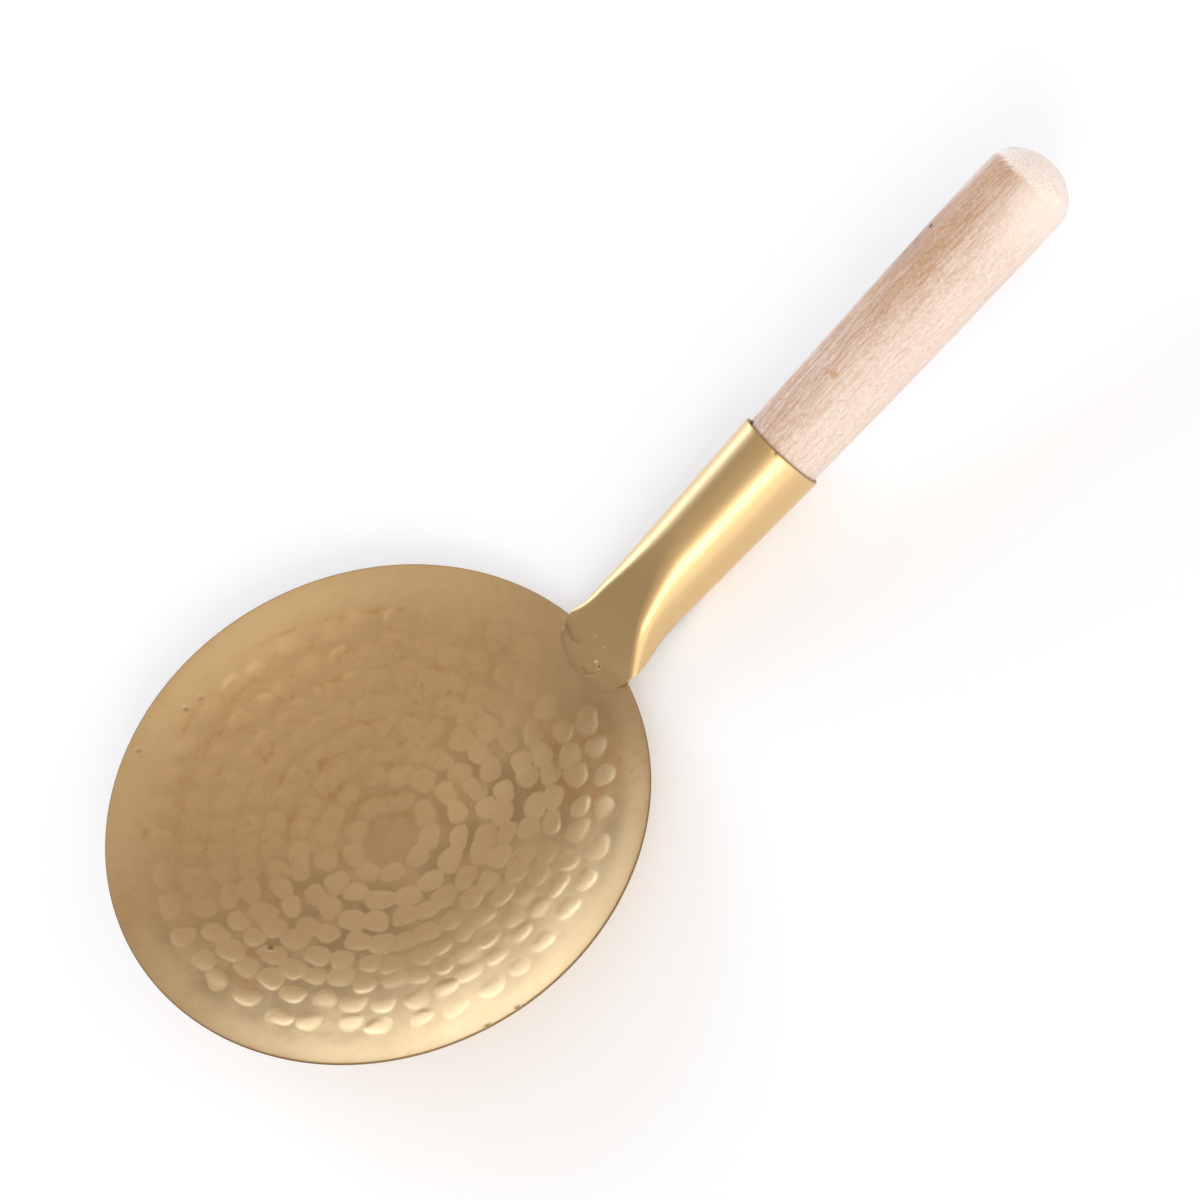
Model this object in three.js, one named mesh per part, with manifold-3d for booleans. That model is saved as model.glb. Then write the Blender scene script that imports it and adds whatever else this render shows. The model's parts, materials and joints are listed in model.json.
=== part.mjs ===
// Tofu scoop: a shallow hammered brass dish, a socket rolled from sheet brass and a turned beech handle.
// Units are millimetres, +Z is up and +X runs from the dish to the handle's butt.
// The group lies as the scoop lies on a table: tipped back until its socket touches the table too.
import * as THREE from 'three';
import { mergeVertices } from 'three/addons/utils/BufferGeometryUtils.js';
import Module from 'manifold-3d';

// Dish
const DISH_RADIUS = 65;
const DISH_DEPTH = 15.5;
const DISH_SHEET = 1.2;
const DISH_FLAT_RADIUS = 6;
const DISH_WALL_POWER = 1.2;
const RIM_ROUND = 0.35;

// Hammer marks, in rings round the flat middle of the dish
const MARK_LENGTH = 5.4;
const MARK_RING_GAP = 2;
const MARK_FLAT_GAP = 0.4;
const MARK_PITCH_INNER = 6.4;
const MARK_PITCH_OUTER = 8.8;
const MARK_DEPTH = 0.35;
const SMOOTH_RIM_BAND = 8.5;
const MARK_FREE_MARGIN = 3;

// Socket, rolled round the handle's axis, with a flat tongue at its dish end
const HANDLE_RISE = THREE.MathUtils.degToRad(19.5);
const AXIS_DROP_AT_RIM = 2.4;
const TONGUE_WIDTH = 24;
const TONGUE_OVERLAP = 7;
const TONGUE_SHIFT = 2.2;
const TONGUE_SHIFT_LENGTH = 13;
const SOCKET_LENGTH = 62.4;
const SOCKET_MOUTH_DIAMETER = 22.1;
const SOCKET_NECK_DIAMETER = 18.2;
const SOCKET_SHEET = 0.9;
const FLAT_LENGTH = 36;
const FLAT_EASE = 2.3;
const FLARE_LENGTH = 21;
const FLARE_EASE = 3;
const FOLD_INNER_RADIUS = 1.1;
const FOLD_GROWTH_LENGTH = 30;
const FOLD_ROUND_SHARE = 0.8;
const SEAM_START = 32;
const SEAM_EASE = 1.35;
const SEAM_GAP = 0.8;

// Braze between the tongue's edge and the dish
const BRAZE_WIDTH = 2.2;
const BRAZE_HEIGHT = 0.9;

// Handle
const GRIP_LENGTH = 84;
const BUTT_DIAMETER = 22.3;
const BUTT_CAP_HEIGHT = 6.8;
const BUTT_EDGE_ROUND = 0.8;
const TENON_TIP_CHAMFER = 1.2;

// Nail that holds the handle, driven up through the socket's seam
const NAIL_DIAMETER = 1.8;
const NAIL_LENGTH = 10;
const NAIL_POINT_LENGTH = 2;
const NAIL_HEAD_DIAMETER = 4.2;
const NAIL_HEAD_HEIGHT = 0.9;

// Clearance between pieces that touch
const SEAT_GAP = 0.3;

// Fineness of the meshes
const FLAT_STEPS = 12;
const RIM_STEPS = 96;
const RIM_BAND_RINGS = 3;
const UNDERSIDE_STEPS = 72;
const UNDERSIDE_RINGS = 7;
const SOCKET_STATIONS = 22;
const STATION_CROWDING = 1.35;
const TONGUE_STATIONS = 6;
const SHEET_STEPS = 26;
const HANDLE_STEPS = 36;
const GRIP_CURVE_STEPS = 10;
const CAP_STEPS = 6;
const NAIL_STEPS = 16;
const NAIL_HEAD_STEPS = 3;
const BRAZE_STEPS = 28;
const WELD_DISTANCE = 1e-4;
const SURFACE_PASSES = 8;
const SETTLE_PASSES = 40;
const STEEPEST_TIP = Math.PI / 4;

const { cos, sin, sqrt, acos, hypot, max, min, round, floor, PI } = Math;
const wasm = await Module();
wasm.setup();

// A closed surface put together from points and triangles.
class Surface {
  constructor() {
    this.points = [];
    this.triangles = [];
  }

  point(x, y, z) {
    this.points.push(x, y, z);
    return this.points.length / 3 - 1;
  }

  triangle(a, b, c, flip = false) {
    this.triangles.push(...(flip ? [a, c, b] : [a, b, c]));
  }

  quad(a, b, c, d, flip = false) {
    this.triangle(a, b, c, flip);
    this.triangle(a, c, d, flip);
  }

  // A level ring of points round the Z axis, each at the height that heightOf gives for its number.
  ring(radius, count, heightOf, phase = 0) {
    const turn = (2 * PI) / count;
    const ids = Array.from({ length: count }, (_, i) => {
      const angle = (i + phase) * turn;
      return this.point(radius * cos(angle), radius * sin(angle), heightOf(i));
    });
    return { ids, angles: ids.map((_, i) => (i + phase) * turn) };
  }

  // The band of triangles between two rings, which may differ in count and phase.
  band(inner, outer, flip = false) {
    const a = inner.ids.length;
    const b = outer.ids.length;
    const angleAt = (ring, i) => ring.angles[i % ring.ids.length] + 2 * PI * floor(i / ring.ids.length);
    let i = 0;
    let j = 0;
    while (i < a || j < b) {
      const stepInner = j >= b || (i < a && angleAt(inner, i + 1) <= angleAt(outer, j + 1));
      const here = inner.ids[i % a];
      const there = outer.ids[j % b];
      if (stepInner) {
        this.triangle(here, there, inner.ids[(i + 1) % a], flip);
        i += 1;
      } else {
        this.triangle(here, there, outer.ids[(j + 1) % b], flip);
        j += 1;
      }
    }
  }

  fan(centre, ring, flip = false) {
    ring.ids.forEach((id, i) => this.triangle(centre, id, ring.ids[(i + 1) % ring.ids.length], flip));
  }

  geometry() {
    const geometry = new THREE.BufferGeometry();
    geometry.setAttribute('position', new THREE.Float32BufferAttribute(this.points, 3));
    geometry.setIndex(this.triangles);
    geometry.computeVertexNormals();
    return geometry;
  }
}

function toSolid(geometry) {
  const bare = geometry.clone();
  bare.deleteAttribute('normal');
  bare.deleteAttribute('uv');
  const merged = mergeVertices(bare, WELD_DISTANCE);
  const corners = Array.from(merged.index.array);
  const kept = [];
  for (let i = 0; i < corners.length; i += 3) {
    const [a, b, c] = corners.slice(i, i + 3);
    if (a !== b && b !== c && c !== a) kept.push(a, b, c);
  }
  const vertProperties = Float32Array.from(merged.attributes.position.array);
  return new wasm.Manifold(new wasm.Mesh({ numProp: 3, vertProperties, triVerts: Uint32Array.from(kept) }));
}

function toGeometry(solid) {
  const mesh = solid.getMesh();
  const geometry = new THREE.BufferGeometry();
  geometry.setAttribute('position', new THREE.BufferAttribute(Float32Array.from(mesh.vertProperties), 3));
  geometry.setIndex(Array.from(mesh.triVerts));
  geometry.computeVertexNormals();
  return geometry;
}

function cut(geometry, tool) {
  return toGeometry(toSolid(geometry).subtract(toSolid(tool)));
}

function makeMesh(name, geometry, finish) {
  const mesh = new THREE.Mesh(geometry, new THREE.MeshStandardMaterial(finish));
  mesh.name = name;
  return mesh;
}

const DISH_BRASS = { color: 0xb3945a, roughness: 0.38, metalness: 1 };
const SOCKET_BRASS = { color: 0xbd9c5c, roughness: 0.3, metalness: 1 };
const BRAZE_METAL = { color: 0x9c8254, roughness: 0.5, metalness: 1 };
const BEECH = { color: 0xe6cdb4, roughness: 0.65, metalness: 0 };
const NAIL_BRASS = { color: 0xb08d4a, roughness: 0.35, metalness: 1 };

// Dish frame: origin at the middle of the rim's top edge, Z along the dish's axis, +X towards the handle.

// Height of the dish's inside at a radius: level in the middle, easing up to nothing at the rim.
function dishHeight(radius) {
  const share = THREE.MathUtils.clamp((radius - DISH_FLAT_RADIUS) / (DISH_RADIUS - DISH_FLAT_RADIUS), 0, 1);
  return -DISH_DEPTH * (1 - share * share) ** DISH_WALL_POWER;
}

// Thickness measured straight down, which grows with the wall's slope so that the sheet stays even.
function dropThrough(radius) {
  const reach = 0.1;
  const slope = (dishHeight(radius + reach) - dishHeight(radius - reach)) / (2 * reach);
  return DISH_SHEET * hypot(1, slope);
}

// One ring of marks: three rows of points, with the middle one pressed in at every other point.
function markRing(surface, radius, pitch) {
  const marks = round((2 * PI * radius) / pitch);
  const tongueReach = TONGUE_WIDTH / 2 + MARK_FREE_MARGIN + MARK_LENGTH / 2;
  const tongueEnd = DISH_RADIUS - TONGUE_OVERLAP - BRAZE_WIDTH - MARK_FREE_MARGIN;
  const underTongue = radius + MARK_LENGTH / 2 > tongueEnd;
  const phase = marks % 2;
  const pressed = (i) => {
    const angle = ((i + phase) * PI) / marks;
    const behindTongue = underTongue && cos(angle) > 0 && Math.abs(radius * sin(angle)) < tongueReach;
    return i % 2 === 0 && !behindTongue;
  };
  return [-1, 0, 1].map((side) => {
    const rowRadius = radius + (side * MARK_LENGTH) / 2;
    const height = (i) => dishHeight(rowRadius) - (side === 0 && pressed(i) ? MARK_DEPTH : 0);
    return surface.ring(rowRadius, 2 * marks, height, phase);
  });
}

function makeDish() {
  const surface = new Surface();
  const firstMarkRing = DISH_FLAT_RADIUS + MARK_FLAT_GAP + MARK_LENGTH / 2;
  const bandStart = DISH_RADIUS - SMOOTH_RIM_BAND;
  const lastMarkRing = bandStart - MARK_LENGTH / 2;
  const rings = [surface.ring(DISH_FLAT_RADIUS, FLAT_STEPS, () => dishHeight(DISH_FLAT_RADIUS))];
  for (let radius = firstMarkRing; radius <= lastMarkRing; radius += MARK_LENGTH + MARK_RING_GAP) {
    const outward = (radius - firstMarkRing) / (lastMarkRing - firstMarkRing);
    const pitch = THREE.MathUtils.lerp(MARK_PITCH_INNER, MARK_PITCH_OUTER, outward);
    rings.push(...markRing(surface, radius, pitch));
  }
  for (let k = 0; k < RIM_BAND_RINGS; k += 1) {
    const radius = THREE.MathUtils.lerp(bandStart, DISH_RADIUS, (k + 0.5) / (RIM_BAND_RINGS + 0.5));
    rings.push(surface.ring(radius, RIM_STEPS, () => dishHeight(radius)));
  }
  const edgeDrop = dropThrough(DISH_RADIUS - RIM_ROUND);
  rings.push(surface.ring(DISH_RADIUS - RIM_ROUND, RIM_STEPS, () => dishHeight(DISH_RADIUS - RIM_ROUND)));
  rings.push(surface.ring(DISH_RADIUS, RIM_STEPS, () => dishHeight(DISH_RADIUS) - RIM_ROUND));
  rings.push(surface.ring(DISH_RADIUS, RIM_STEPS, () => dishHeight(DISH_RADIUS) - edgeDrop + RIM_ROUND));
  for (let k = 0; k <= UNDERSIDE_RINGS; k += 1) {
    const radius = THREE.MathUtils.lerp(DISH_RADIUS - RIM_ROUND, DISH_FLAT_RADIUS, k / UNDERSIDE_RINGS);
    rings.push(surface.ring(radius, UNDERSIDE_STEPS, () => dishHeight(radius) - dropThrough(radius)));
  }
  surface.fan(surface.point(0, 0, dishHeight(0)), rings[0]);
  rings.slice(1).forEach((ring, k) => surface.band(rings[k], ring));
  surface.fan(surface.point(0, 0, dishHeight(0) - DISH_SHEET), rings.at(-1), true);
  return makeMesh('dish', surface.geometry(), DISH_BRASS);
}

// Shaft frame: origin on the handle's axis at the rim, X along the axis, Z away from the table.

// Height over the axis, square to it, of the dish's inside at a place along and across the axis.
function dishOverAxis(along, across) {
  let over = AXIS_DROP_AT_RIM * cos(HANDLE_RISE);
  for (let pass = 0; pass < SURFACE_PASSES; pass += 1) {
    const x = DISH_RADIUS + along * cos(HANDLE_RISE) - over * sin(HANDLE_RISE);
    const z = -AXIS_DROP_AT_RIM + along * sin(HANDLE_RISE) + over * cos(HANDLE_RISE);
    over += (dishHeight(hypot(x, across)) - z) / cos(HANDLE_RISE);
  }
  return over;
}

// The tongue clears the rim all across its width, where the rim's curve falls back towards the dish.
const RIM_FALL_BACK = DISH_RADIUS - sqrt(DISH_RADIUS ** 2 - (TONGUE_WIDTH / 2 + TONGUE_SHIFT) ** 2);
const RIM_OVER_AXIS = AXIS_DROP_AT_RIM * cos(HANDLE_RISE) + RIM_FALL_BACK * sin(HANDLE_RISE);
const TONGUE_TOP = RIM_OVER_AXIS + SEAT_GAP + SOCKET_SHEET;
const FOLD_RADIUS = FOLD_INNER_RADIUS + SOCKET_SHEET;
const FLARED_RADIUS = hypot(TONGUE_WIDTH / 2, TONGUE_TOP - FOLD_RADIUS) + FOLD_RADIUS;

// Outer radius of the rolled socket, a cone that flares where it opens into the tongue.
function socketRadius(along) {
  const share = along / SOCKET_LENGTH;
  const cone = THREE.MathUtils.lerp(SOCKET_NECK_DIAMETER, SOCKET_MOUTH_DIAMETER, share) / 2;
  const flare = FLARED_RADIUS - SOCKET_NECK_DIAMETER / 2;
  return cone + flare * max(0, 1 - along / FLARE_LENGTH) ** FLARE_EASE;
}

// Height of the flat top over the axis, from the tongue up to the round of the socket.
function flatHeight(along) {
  return socketRadius(along) - (FLARED_RADIUS - TONGUE_TOP) * max(0, 1 - along / FLAT_LENGTH) ** FLAT_EASE;
}

// Half the width of the sheet before rolling: the tongue's at the rim, a full turn where the seam closes.
function blankHalfWidth(along) {
  const closed = PI * socketRadius(along) - SEAM_GAP / 2;
  const opening = max(0, 1 - (along / SEAM_START) ** SEAM_EASE);
  return THREE.MathUtils.lerp(closed, TONGUE_WIDTH / 2, opening);
}

// Radius of the fold beside the flat top: tight at the tongue, growing until it is most of the round.
function foldRadius(along) {
  const growth = THREE.MathUtils.smoothstep(along, 0, FOLD_GROWTH_LENGTH);
  return THREE.MathUtils.lerp(FOLD_RADIUS, FOLD_ROUND_SHARE * socketRadius(along), growth);
}

// A point of the rolled section, a distance along the sheet from its middle and a depth into it.
function sectionPoint(along, distance, depth) {
  const fold = foldRadius(along);
  const radius = socketRadius(along) - fold;
  const height = flatHeight(along) - fold;
  const halfFlat = sqrt(max(0, radius ** 2 - height ** 2));
  const foldAngle = acos(min(1, height / radius));
  const pastFlat = max(0, distance - halfFlat);
  const pastFold = max(0, pastFlat - fold * foldAngle);
  const angle = min(pastFlat / fold, foldAngle) + pastFold / (radius + fold);
  const skin = fold - depth;
  const [across, over] = distance <= halfFlat
    ? [distance, height]
    : pastFold === 0 ? [halfFlat, height] : [radius * sin(angle), radius * cos(angle)];
  return [across + skin * sin(angle), over + skin * cos(angle)];
}

// The tongue sits a little to the -Y side, where it was brazed on by hand; the roll eases back onto the axis.
function sideways(along) {
  return -TONGUE_SHIFT * (1 - THREE.MathUtils.smoothstep(along, 0, TONGUE_SHIFT_LENGTH));
}

// A point of the sheet, a signed distance along it from its middle and a depth into it.
function socketPoint(along, distance, depth) {
  if (along >= 0) {
    const [across, over] = sectionPoint(along, Math.abs(distance), depth);
    return [across * Math.sign(distance) + sideways(along), over];
  }
  const across = distance + sideways(along);
  return [across, dishOverAxis(along, across) + SEAT_GAP + SOCKET_SHEET - depth];
}

// Half the tongue's width at a distance inside the rim; its end is half an ellipse.
function tongueHalfWidth(inside) {
  return (TONGUE_WIDTH / 2) * sqrt(max(0, 1 - (inside / TONGUE_OVERLAP) ** 2));
}

function socketStations() {
  const blunt = 0.08;
  const tongue = Array.from({ length: TONGUE_STATIONS }, (_, k) => {
    const turn = THREE.MathUtils.lerp(blunt, PI / 2, k / TONGUE_STATIONS);
    return -TONGUE_OVERLAP * cos(turn);
  });
  const rolled = Array.from({ length: SOCKET_STATIONS + 1 }, (_, k) => {
    return SOCKET_LENGTH * (k / SOCKET_STATIONS) ** STATION_CROWDING;
  });
  return [...tongue, ...rolled];
}

function makeSocket() {
  const surface = new Surface();
  const rows = socketStations().map((along) => {
    const half = along < 0 ? tongueHalfWidth(-along) : blankHalfWidth(along);
    const place = (side, depth) => surface.point(along, ...socketPoint(along, side * half, depth));
    const sides = Array.from({ length: SHEET_STEPS + 1 }, (_, i) => (2 * i) / SHEET_STEPS - 1);
    const skin = (depth) => sides.map((side) => place(side, depth));
    return { top: skin(0), under: skin(SOCKET_SHEET) };
  });
  rows.slice(1).forEach((next, k) => {
    const row = rows[k];
    for (let i = 0; i < SHEET_STEPS; i += 1) {
      surface.quad(row.top[i], next.top[i], next.top[i + 1], row.top[i + 1]);
      surface.quad(row.under[i], next.under[i], next.under[i + 1], row.under[i + 1], true);
    }
    surface.quad(row.top[0], row.under[0], next.under[0], next.top[0]);
    surface.quad(row.top.at(-1), row.under.at(-1), next.under.at(-1), next.top.at(-1), true);
  });
  const closeEnd = (row, flip) => {
    for (let i = 0; i < SHEET_STEPS; i += 1) {
      surface.quad(row.top[i], row.top[i + 1], row.under[i + 1], row.under[i], flip);
    }
  };
  closeEnd(rows[0], false);
  closeEnd(rows.at(-1), true);
  return makeMesh('socket', cut(surface.geometry(), nailHole()), SOCKET_BRASS);
}

// A low bead of filler along the tongue's edge, from the rim on one side round to the rim on the other.
function makeBraze() {
  const surface = new Surface();
  const halfWidth = TONGUE_WIDTH / 2;
  const rimMargin = 0.22;
  const sections = Array.from({ length: BRAZE_STEPS + 1 }, (_, k) => {
    const turn = THREE.MathUtils.lerp(-PI / 2 + rimMargin, PI / 2 - rimMargin, k / BRAZE_STEPS);
    const edge = new THREE.Vector2(-TONGUE_OVERLAP * cos(turn), halfWidth * sin(turn) + sideways(0));
    const outward = new THREE.Vector2(-halfWidth * cos(turn), TONGUE_OVERLAP * sin(turn)).normalize();
    const place = (distance, lift) => {
      const spot = edge.clone().addScaledVector(outward, distance);
      return surface.point(spot.x, spot.y, dishOverAxis(spot.x, spot.y) + SEAT_GAP + lift);
    };
    return [place(SEAT_GAP, 0), place(SEAT_GAP, BRAZE_HEIGHT), place(SEAT_GAP + BRAZE_WIDTH, 0)];
  });
  sections.slice(1).forEach((next, k) => {
    const here = sections[k];
    [0, 1, 2].forEach((i) => surface.quad(here[i], here[(i + 1) % 3], next[(i + 1) % 3], next[i], true));
  });
  surface.triangle(...sections[0]);
  surface.triangle(...sections.at(-1), true);
  return makeMesh('braze_fillet', surface.geometry(), BRAZE_METAL);
}

// A solid turned round the shaft's X axis from [radius, along] points.
function turned(profile, steps) {
  const points = profile.map(([r, along]) => new THREE.Vector2(r, along));
  return new THREE.LatheGeometry(points, steps).rotateZ(-PI / 2);
}

function tenonRadius(along) {
  return socketRadius(along) - SOCKET_SHEET - SEAT_GAP;
}

const TENON_TIP = FLAT_LENGTH + SEAT_GAP;

function makeHandle() {
  const tipRadius = tenonRadius(TENON_TIP);
  const mouthRadius = tenonRadius(SOCKET_LENGTH);
  const buttRadius = BUTT_DIAMETER / 2;
  const crease = SOCKET_LENGTH + GRIP_LENGTH;
  const profile = [[0, TENON_TIP]];
  profile.push([tipRadius - TENON_TIP_CHAMFER, TENON_TIP], [tipRadius, TENON_TIP + TENON_TIP_CHAMFER]);
  for (let k = 0; k <= GRIP_CURVE_STEPS; k += 1) {
    const share = k / GRIP_CURVE_STEPS;
    const swell = 1 - (1 - share) ** 2;
    const along = THREE.MathUtils.lerp(SOCKET_LENGTH, crease - BUTT_EDGE_ROUND, share);
    profile.push([THREE.MathUtils.lerp(mouthRadius, buttRadius, swell), along]);
  }
  const capBase = buttRadius - BUTT_EDGE_ROUND / 2;
  const capRadius = (capBase ** 2 + BUTT_CAP_HEIGHT ** 2) / (2 * BUTT_CAP_HEIGHT);
  const capMiddle = crease + BUTT_CAP_HEIGHT - capRadius;
  const capAngle = Math.atan2(capBase, crease - capMiddle);
  for (let k = 0; k <= CAP_STEPS; k += 1) {
    const angle = capAngle * (1 - k / CAP_STEPS);
    profile.push([k === CAP_STEPS ? 0 : capRadius * sin(angle), capMiddle + capRadius * cos(angle)]);
  }
  return makeMesh('handle', cut(turned(profile, HANDLE_STEPS), nailHole()), BEECH);
}

// The nail stands on the seam halfway along the tenon, square to the axis, with its head under the socket.
const NAIL_ALONG = (TENON_TIP + SOCKET_LENGTH) / 2;
const NAIL_SEAT = -(socketRadius(NAIL_ALONG) + SEAT_GAP);

function upright(profile, steps) {
  const points = profile.map(([r, up]) => new THREE.Vector2(r, up));
  return new THREE.LatheGeometry(points, steps).rotateX(PI / 2).translate(NAIL_ALONG, 0, NAIL_SEAT);
}

function nailHole() {
  const radius = NAIL_DIAMETER / 2 + SEAT_GAP;
  const top = NAIL_LENGTH + SEAT_GAP;
  return upright([[0, -SEAT_GAP], [radius, -SEAT_GAP], [radius, top], [0, top]], NAIL_STEPS);
}

function makeNail() {
  const shank = NAIL_DIAMETER / 2;
  const head = NAIL_HEAD_DIAMETER / 2;
  const profile = [];
  for (let k = 0; k <= NAIL_HEAD_STEPS; k += 1) {
    const angle = (PI / 2) * (k / NAIL_HEAD_STEPS);
    profile.push([head * sin(angle), k === NAIL_HEAD_STEPS ? 0 : -NAIL_HEAD_HEIGHT * cos(angle)]);
  }
  profile.push([shank, 0], [shank, NAIL_LENGTH - NAIL_POINT_LENGTH], [0, NAIL_LENGTH]);
  return makeMesh('socket_nail', upright(profile, NAIL_STEPS), NAIL_BRASS);
}

// Lowest world height of some meshes.
function lowest(meshes) {
  return min(...meshes.map((mesh) => new THREE.Box3().setFromObject(mesh, true).min.z));
}

const dish = makeDish();
const socket = makeSocket();
const braze = makeBraze();
const handle = makeHandle();
const nail = makeNail();

const shaft = new THREE.Group();
shaft.position.set(DISH_RADIUS, 0, -AXIS_DROP_AT_RIM);
shaft.rotation.y = -HANDLE_RISE;
shaft.add(socket, braze, handle, nail);

const scoop = new THREE.Group();
scoop.add(dish, shaft);

const part = new THREE.Group();
part.add(scoop);

// The scoop tips back, about the dish's round underside, until the socket or the handle touches the table.
function settle() {
  let level = 0;
  let tipped = STEEPEST_TIP;
  for (let pass = 0; pass < SETTLE_PASSES; pass += 1) {
    scoop.rotation.y = (level + tipped) / 2;
    part.updateMatrixWorld(true);
    if (lowest([socket, handle, nail]) > lowest([dish])) level = scoop.rotation.y;
    else tipped = scoop.rotation.y;
  }
  const box = new THREE.Box3().setFromObject(part, true);
  const middle = box.getCenter(new THREE.Vector3());
  scoop.position.set(-middle.x, -middle.y, -box.min.z);
  part.updateMatrixWorld(true);
}
settle();

export default part;
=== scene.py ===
"""Tofu scoop: a hammered brass dish, a socket rolled from sheet brass and a turned beech handle.

Sizes are in millimetres and go to metres as a mesh is made. The dish frame has its origin in the middle
of the rim, Z along the dish's axis and +X towards the handle. The shaft frame has its origin on the
handle's axis at the rim, X along that axis and Z away from the table.
"""

from __future__ import annotations

import json
import logging
import math
import random
from dataclasses import dataclass, field
from enum import Enum
from functools import partialmethod
from typing import ClassVar

import bpy
import numpy as np
from bpy.types import ID, Material, NodeSocket, NodeTree, Object
from mathutils import Matrix, Vector

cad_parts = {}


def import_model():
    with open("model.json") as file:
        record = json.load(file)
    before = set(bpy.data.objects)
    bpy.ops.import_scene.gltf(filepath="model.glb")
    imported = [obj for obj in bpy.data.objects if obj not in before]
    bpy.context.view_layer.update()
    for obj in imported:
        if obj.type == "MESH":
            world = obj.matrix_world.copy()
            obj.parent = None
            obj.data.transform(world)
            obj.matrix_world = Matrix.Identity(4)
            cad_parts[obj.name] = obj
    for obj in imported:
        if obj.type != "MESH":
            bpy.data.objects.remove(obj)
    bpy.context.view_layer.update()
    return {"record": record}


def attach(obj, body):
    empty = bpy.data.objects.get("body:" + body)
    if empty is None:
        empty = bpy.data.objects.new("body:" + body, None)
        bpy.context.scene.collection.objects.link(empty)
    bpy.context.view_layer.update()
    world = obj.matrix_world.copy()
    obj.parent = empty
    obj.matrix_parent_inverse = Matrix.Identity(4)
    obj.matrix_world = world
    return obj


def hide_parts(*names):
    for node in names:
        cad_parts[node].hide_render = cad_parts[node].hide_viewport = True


MM = 0.001
FULL_TURN = 2.0 * math.pi
QUARTER_TURN = math.pi / 2
NOISE_MIDDLE = 0.5
BODY = "root"
LOG = logging.getLogger("tofu_scoop")

Array = np.ndarray
Colour = tuple[float, float, float]
Point = tuple[float, float, float]
Range = tuple[float, float]


class Part(Enum):
    """The pieces: name, solid that it stands for, material slot, and the bend in degrees that stays sharp."""

    DISH = ("scoop_dish", "dish", "dish_brass", 60.0)
    SOCKET = ("scoop_socket", "socket", "socket_brass", 40.0)
    BRAZE = ("braze_seam", "braze_fillet", "braze_metal", 50.0)
    HANDLE = ("beech_handle", "handle", "beech", 35.0)
    NAIL = ("socket_nail_head", "socket_nail", "nail_brass", 40.0)


class Tag(Enum):
    """What the points of a brass piece tell its finish; the smear and soil tags also carry painted shade."""

    STRUCK = "struck"
    TONE = "tone"
    WORN = "worn"
    SMEAR = "smear"
    SOIL = "soil"


def smooth_step(low: float, high: float, value: Array | float) -> Array:
    """Ease a value from 0 at low to 1 at high, which may lie below low."""
    share = np.clip((np.asarray(value, float) - low) / (high - low), 0.0, 1.0)
    return share * share * (3.0 - 2.0 * share)


def distance_to(x: Array, y: Array, spot: Range) -> Array:
    """Distances of points from a spot."""
    return np.hypot(x - spot[0], y - spot[1])


@dataclass(frozen=True)
class Fade:
    """A share that eases from its first value at one place to its last at another."""

    start: float
    stop: float
    first: float = 0.0
    last: float = 1.0

    def __call__(self, value: Array | float) -> Array:
        """Share at a value."""
        return self.first + (self.last - self.first) * smooth_step(self.start, self.stop, value)


def circle(count: int) -> Array:
    """Angles of points spread evenly round a circle."""
    return np.arange(count) * (FULL_TURN / count)


def linked(name: str, data: ID) -> Object:
    """Make an object and link it to the scene.

    Args:
        name: The object's name.
        data: Its mesh, lamp or camera.

    Returns:
        The object.
    """
    made = bpy.data.objects.new(name, data)
    bpy.context.scene.collection.objects.link(made)
    return made


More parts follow.
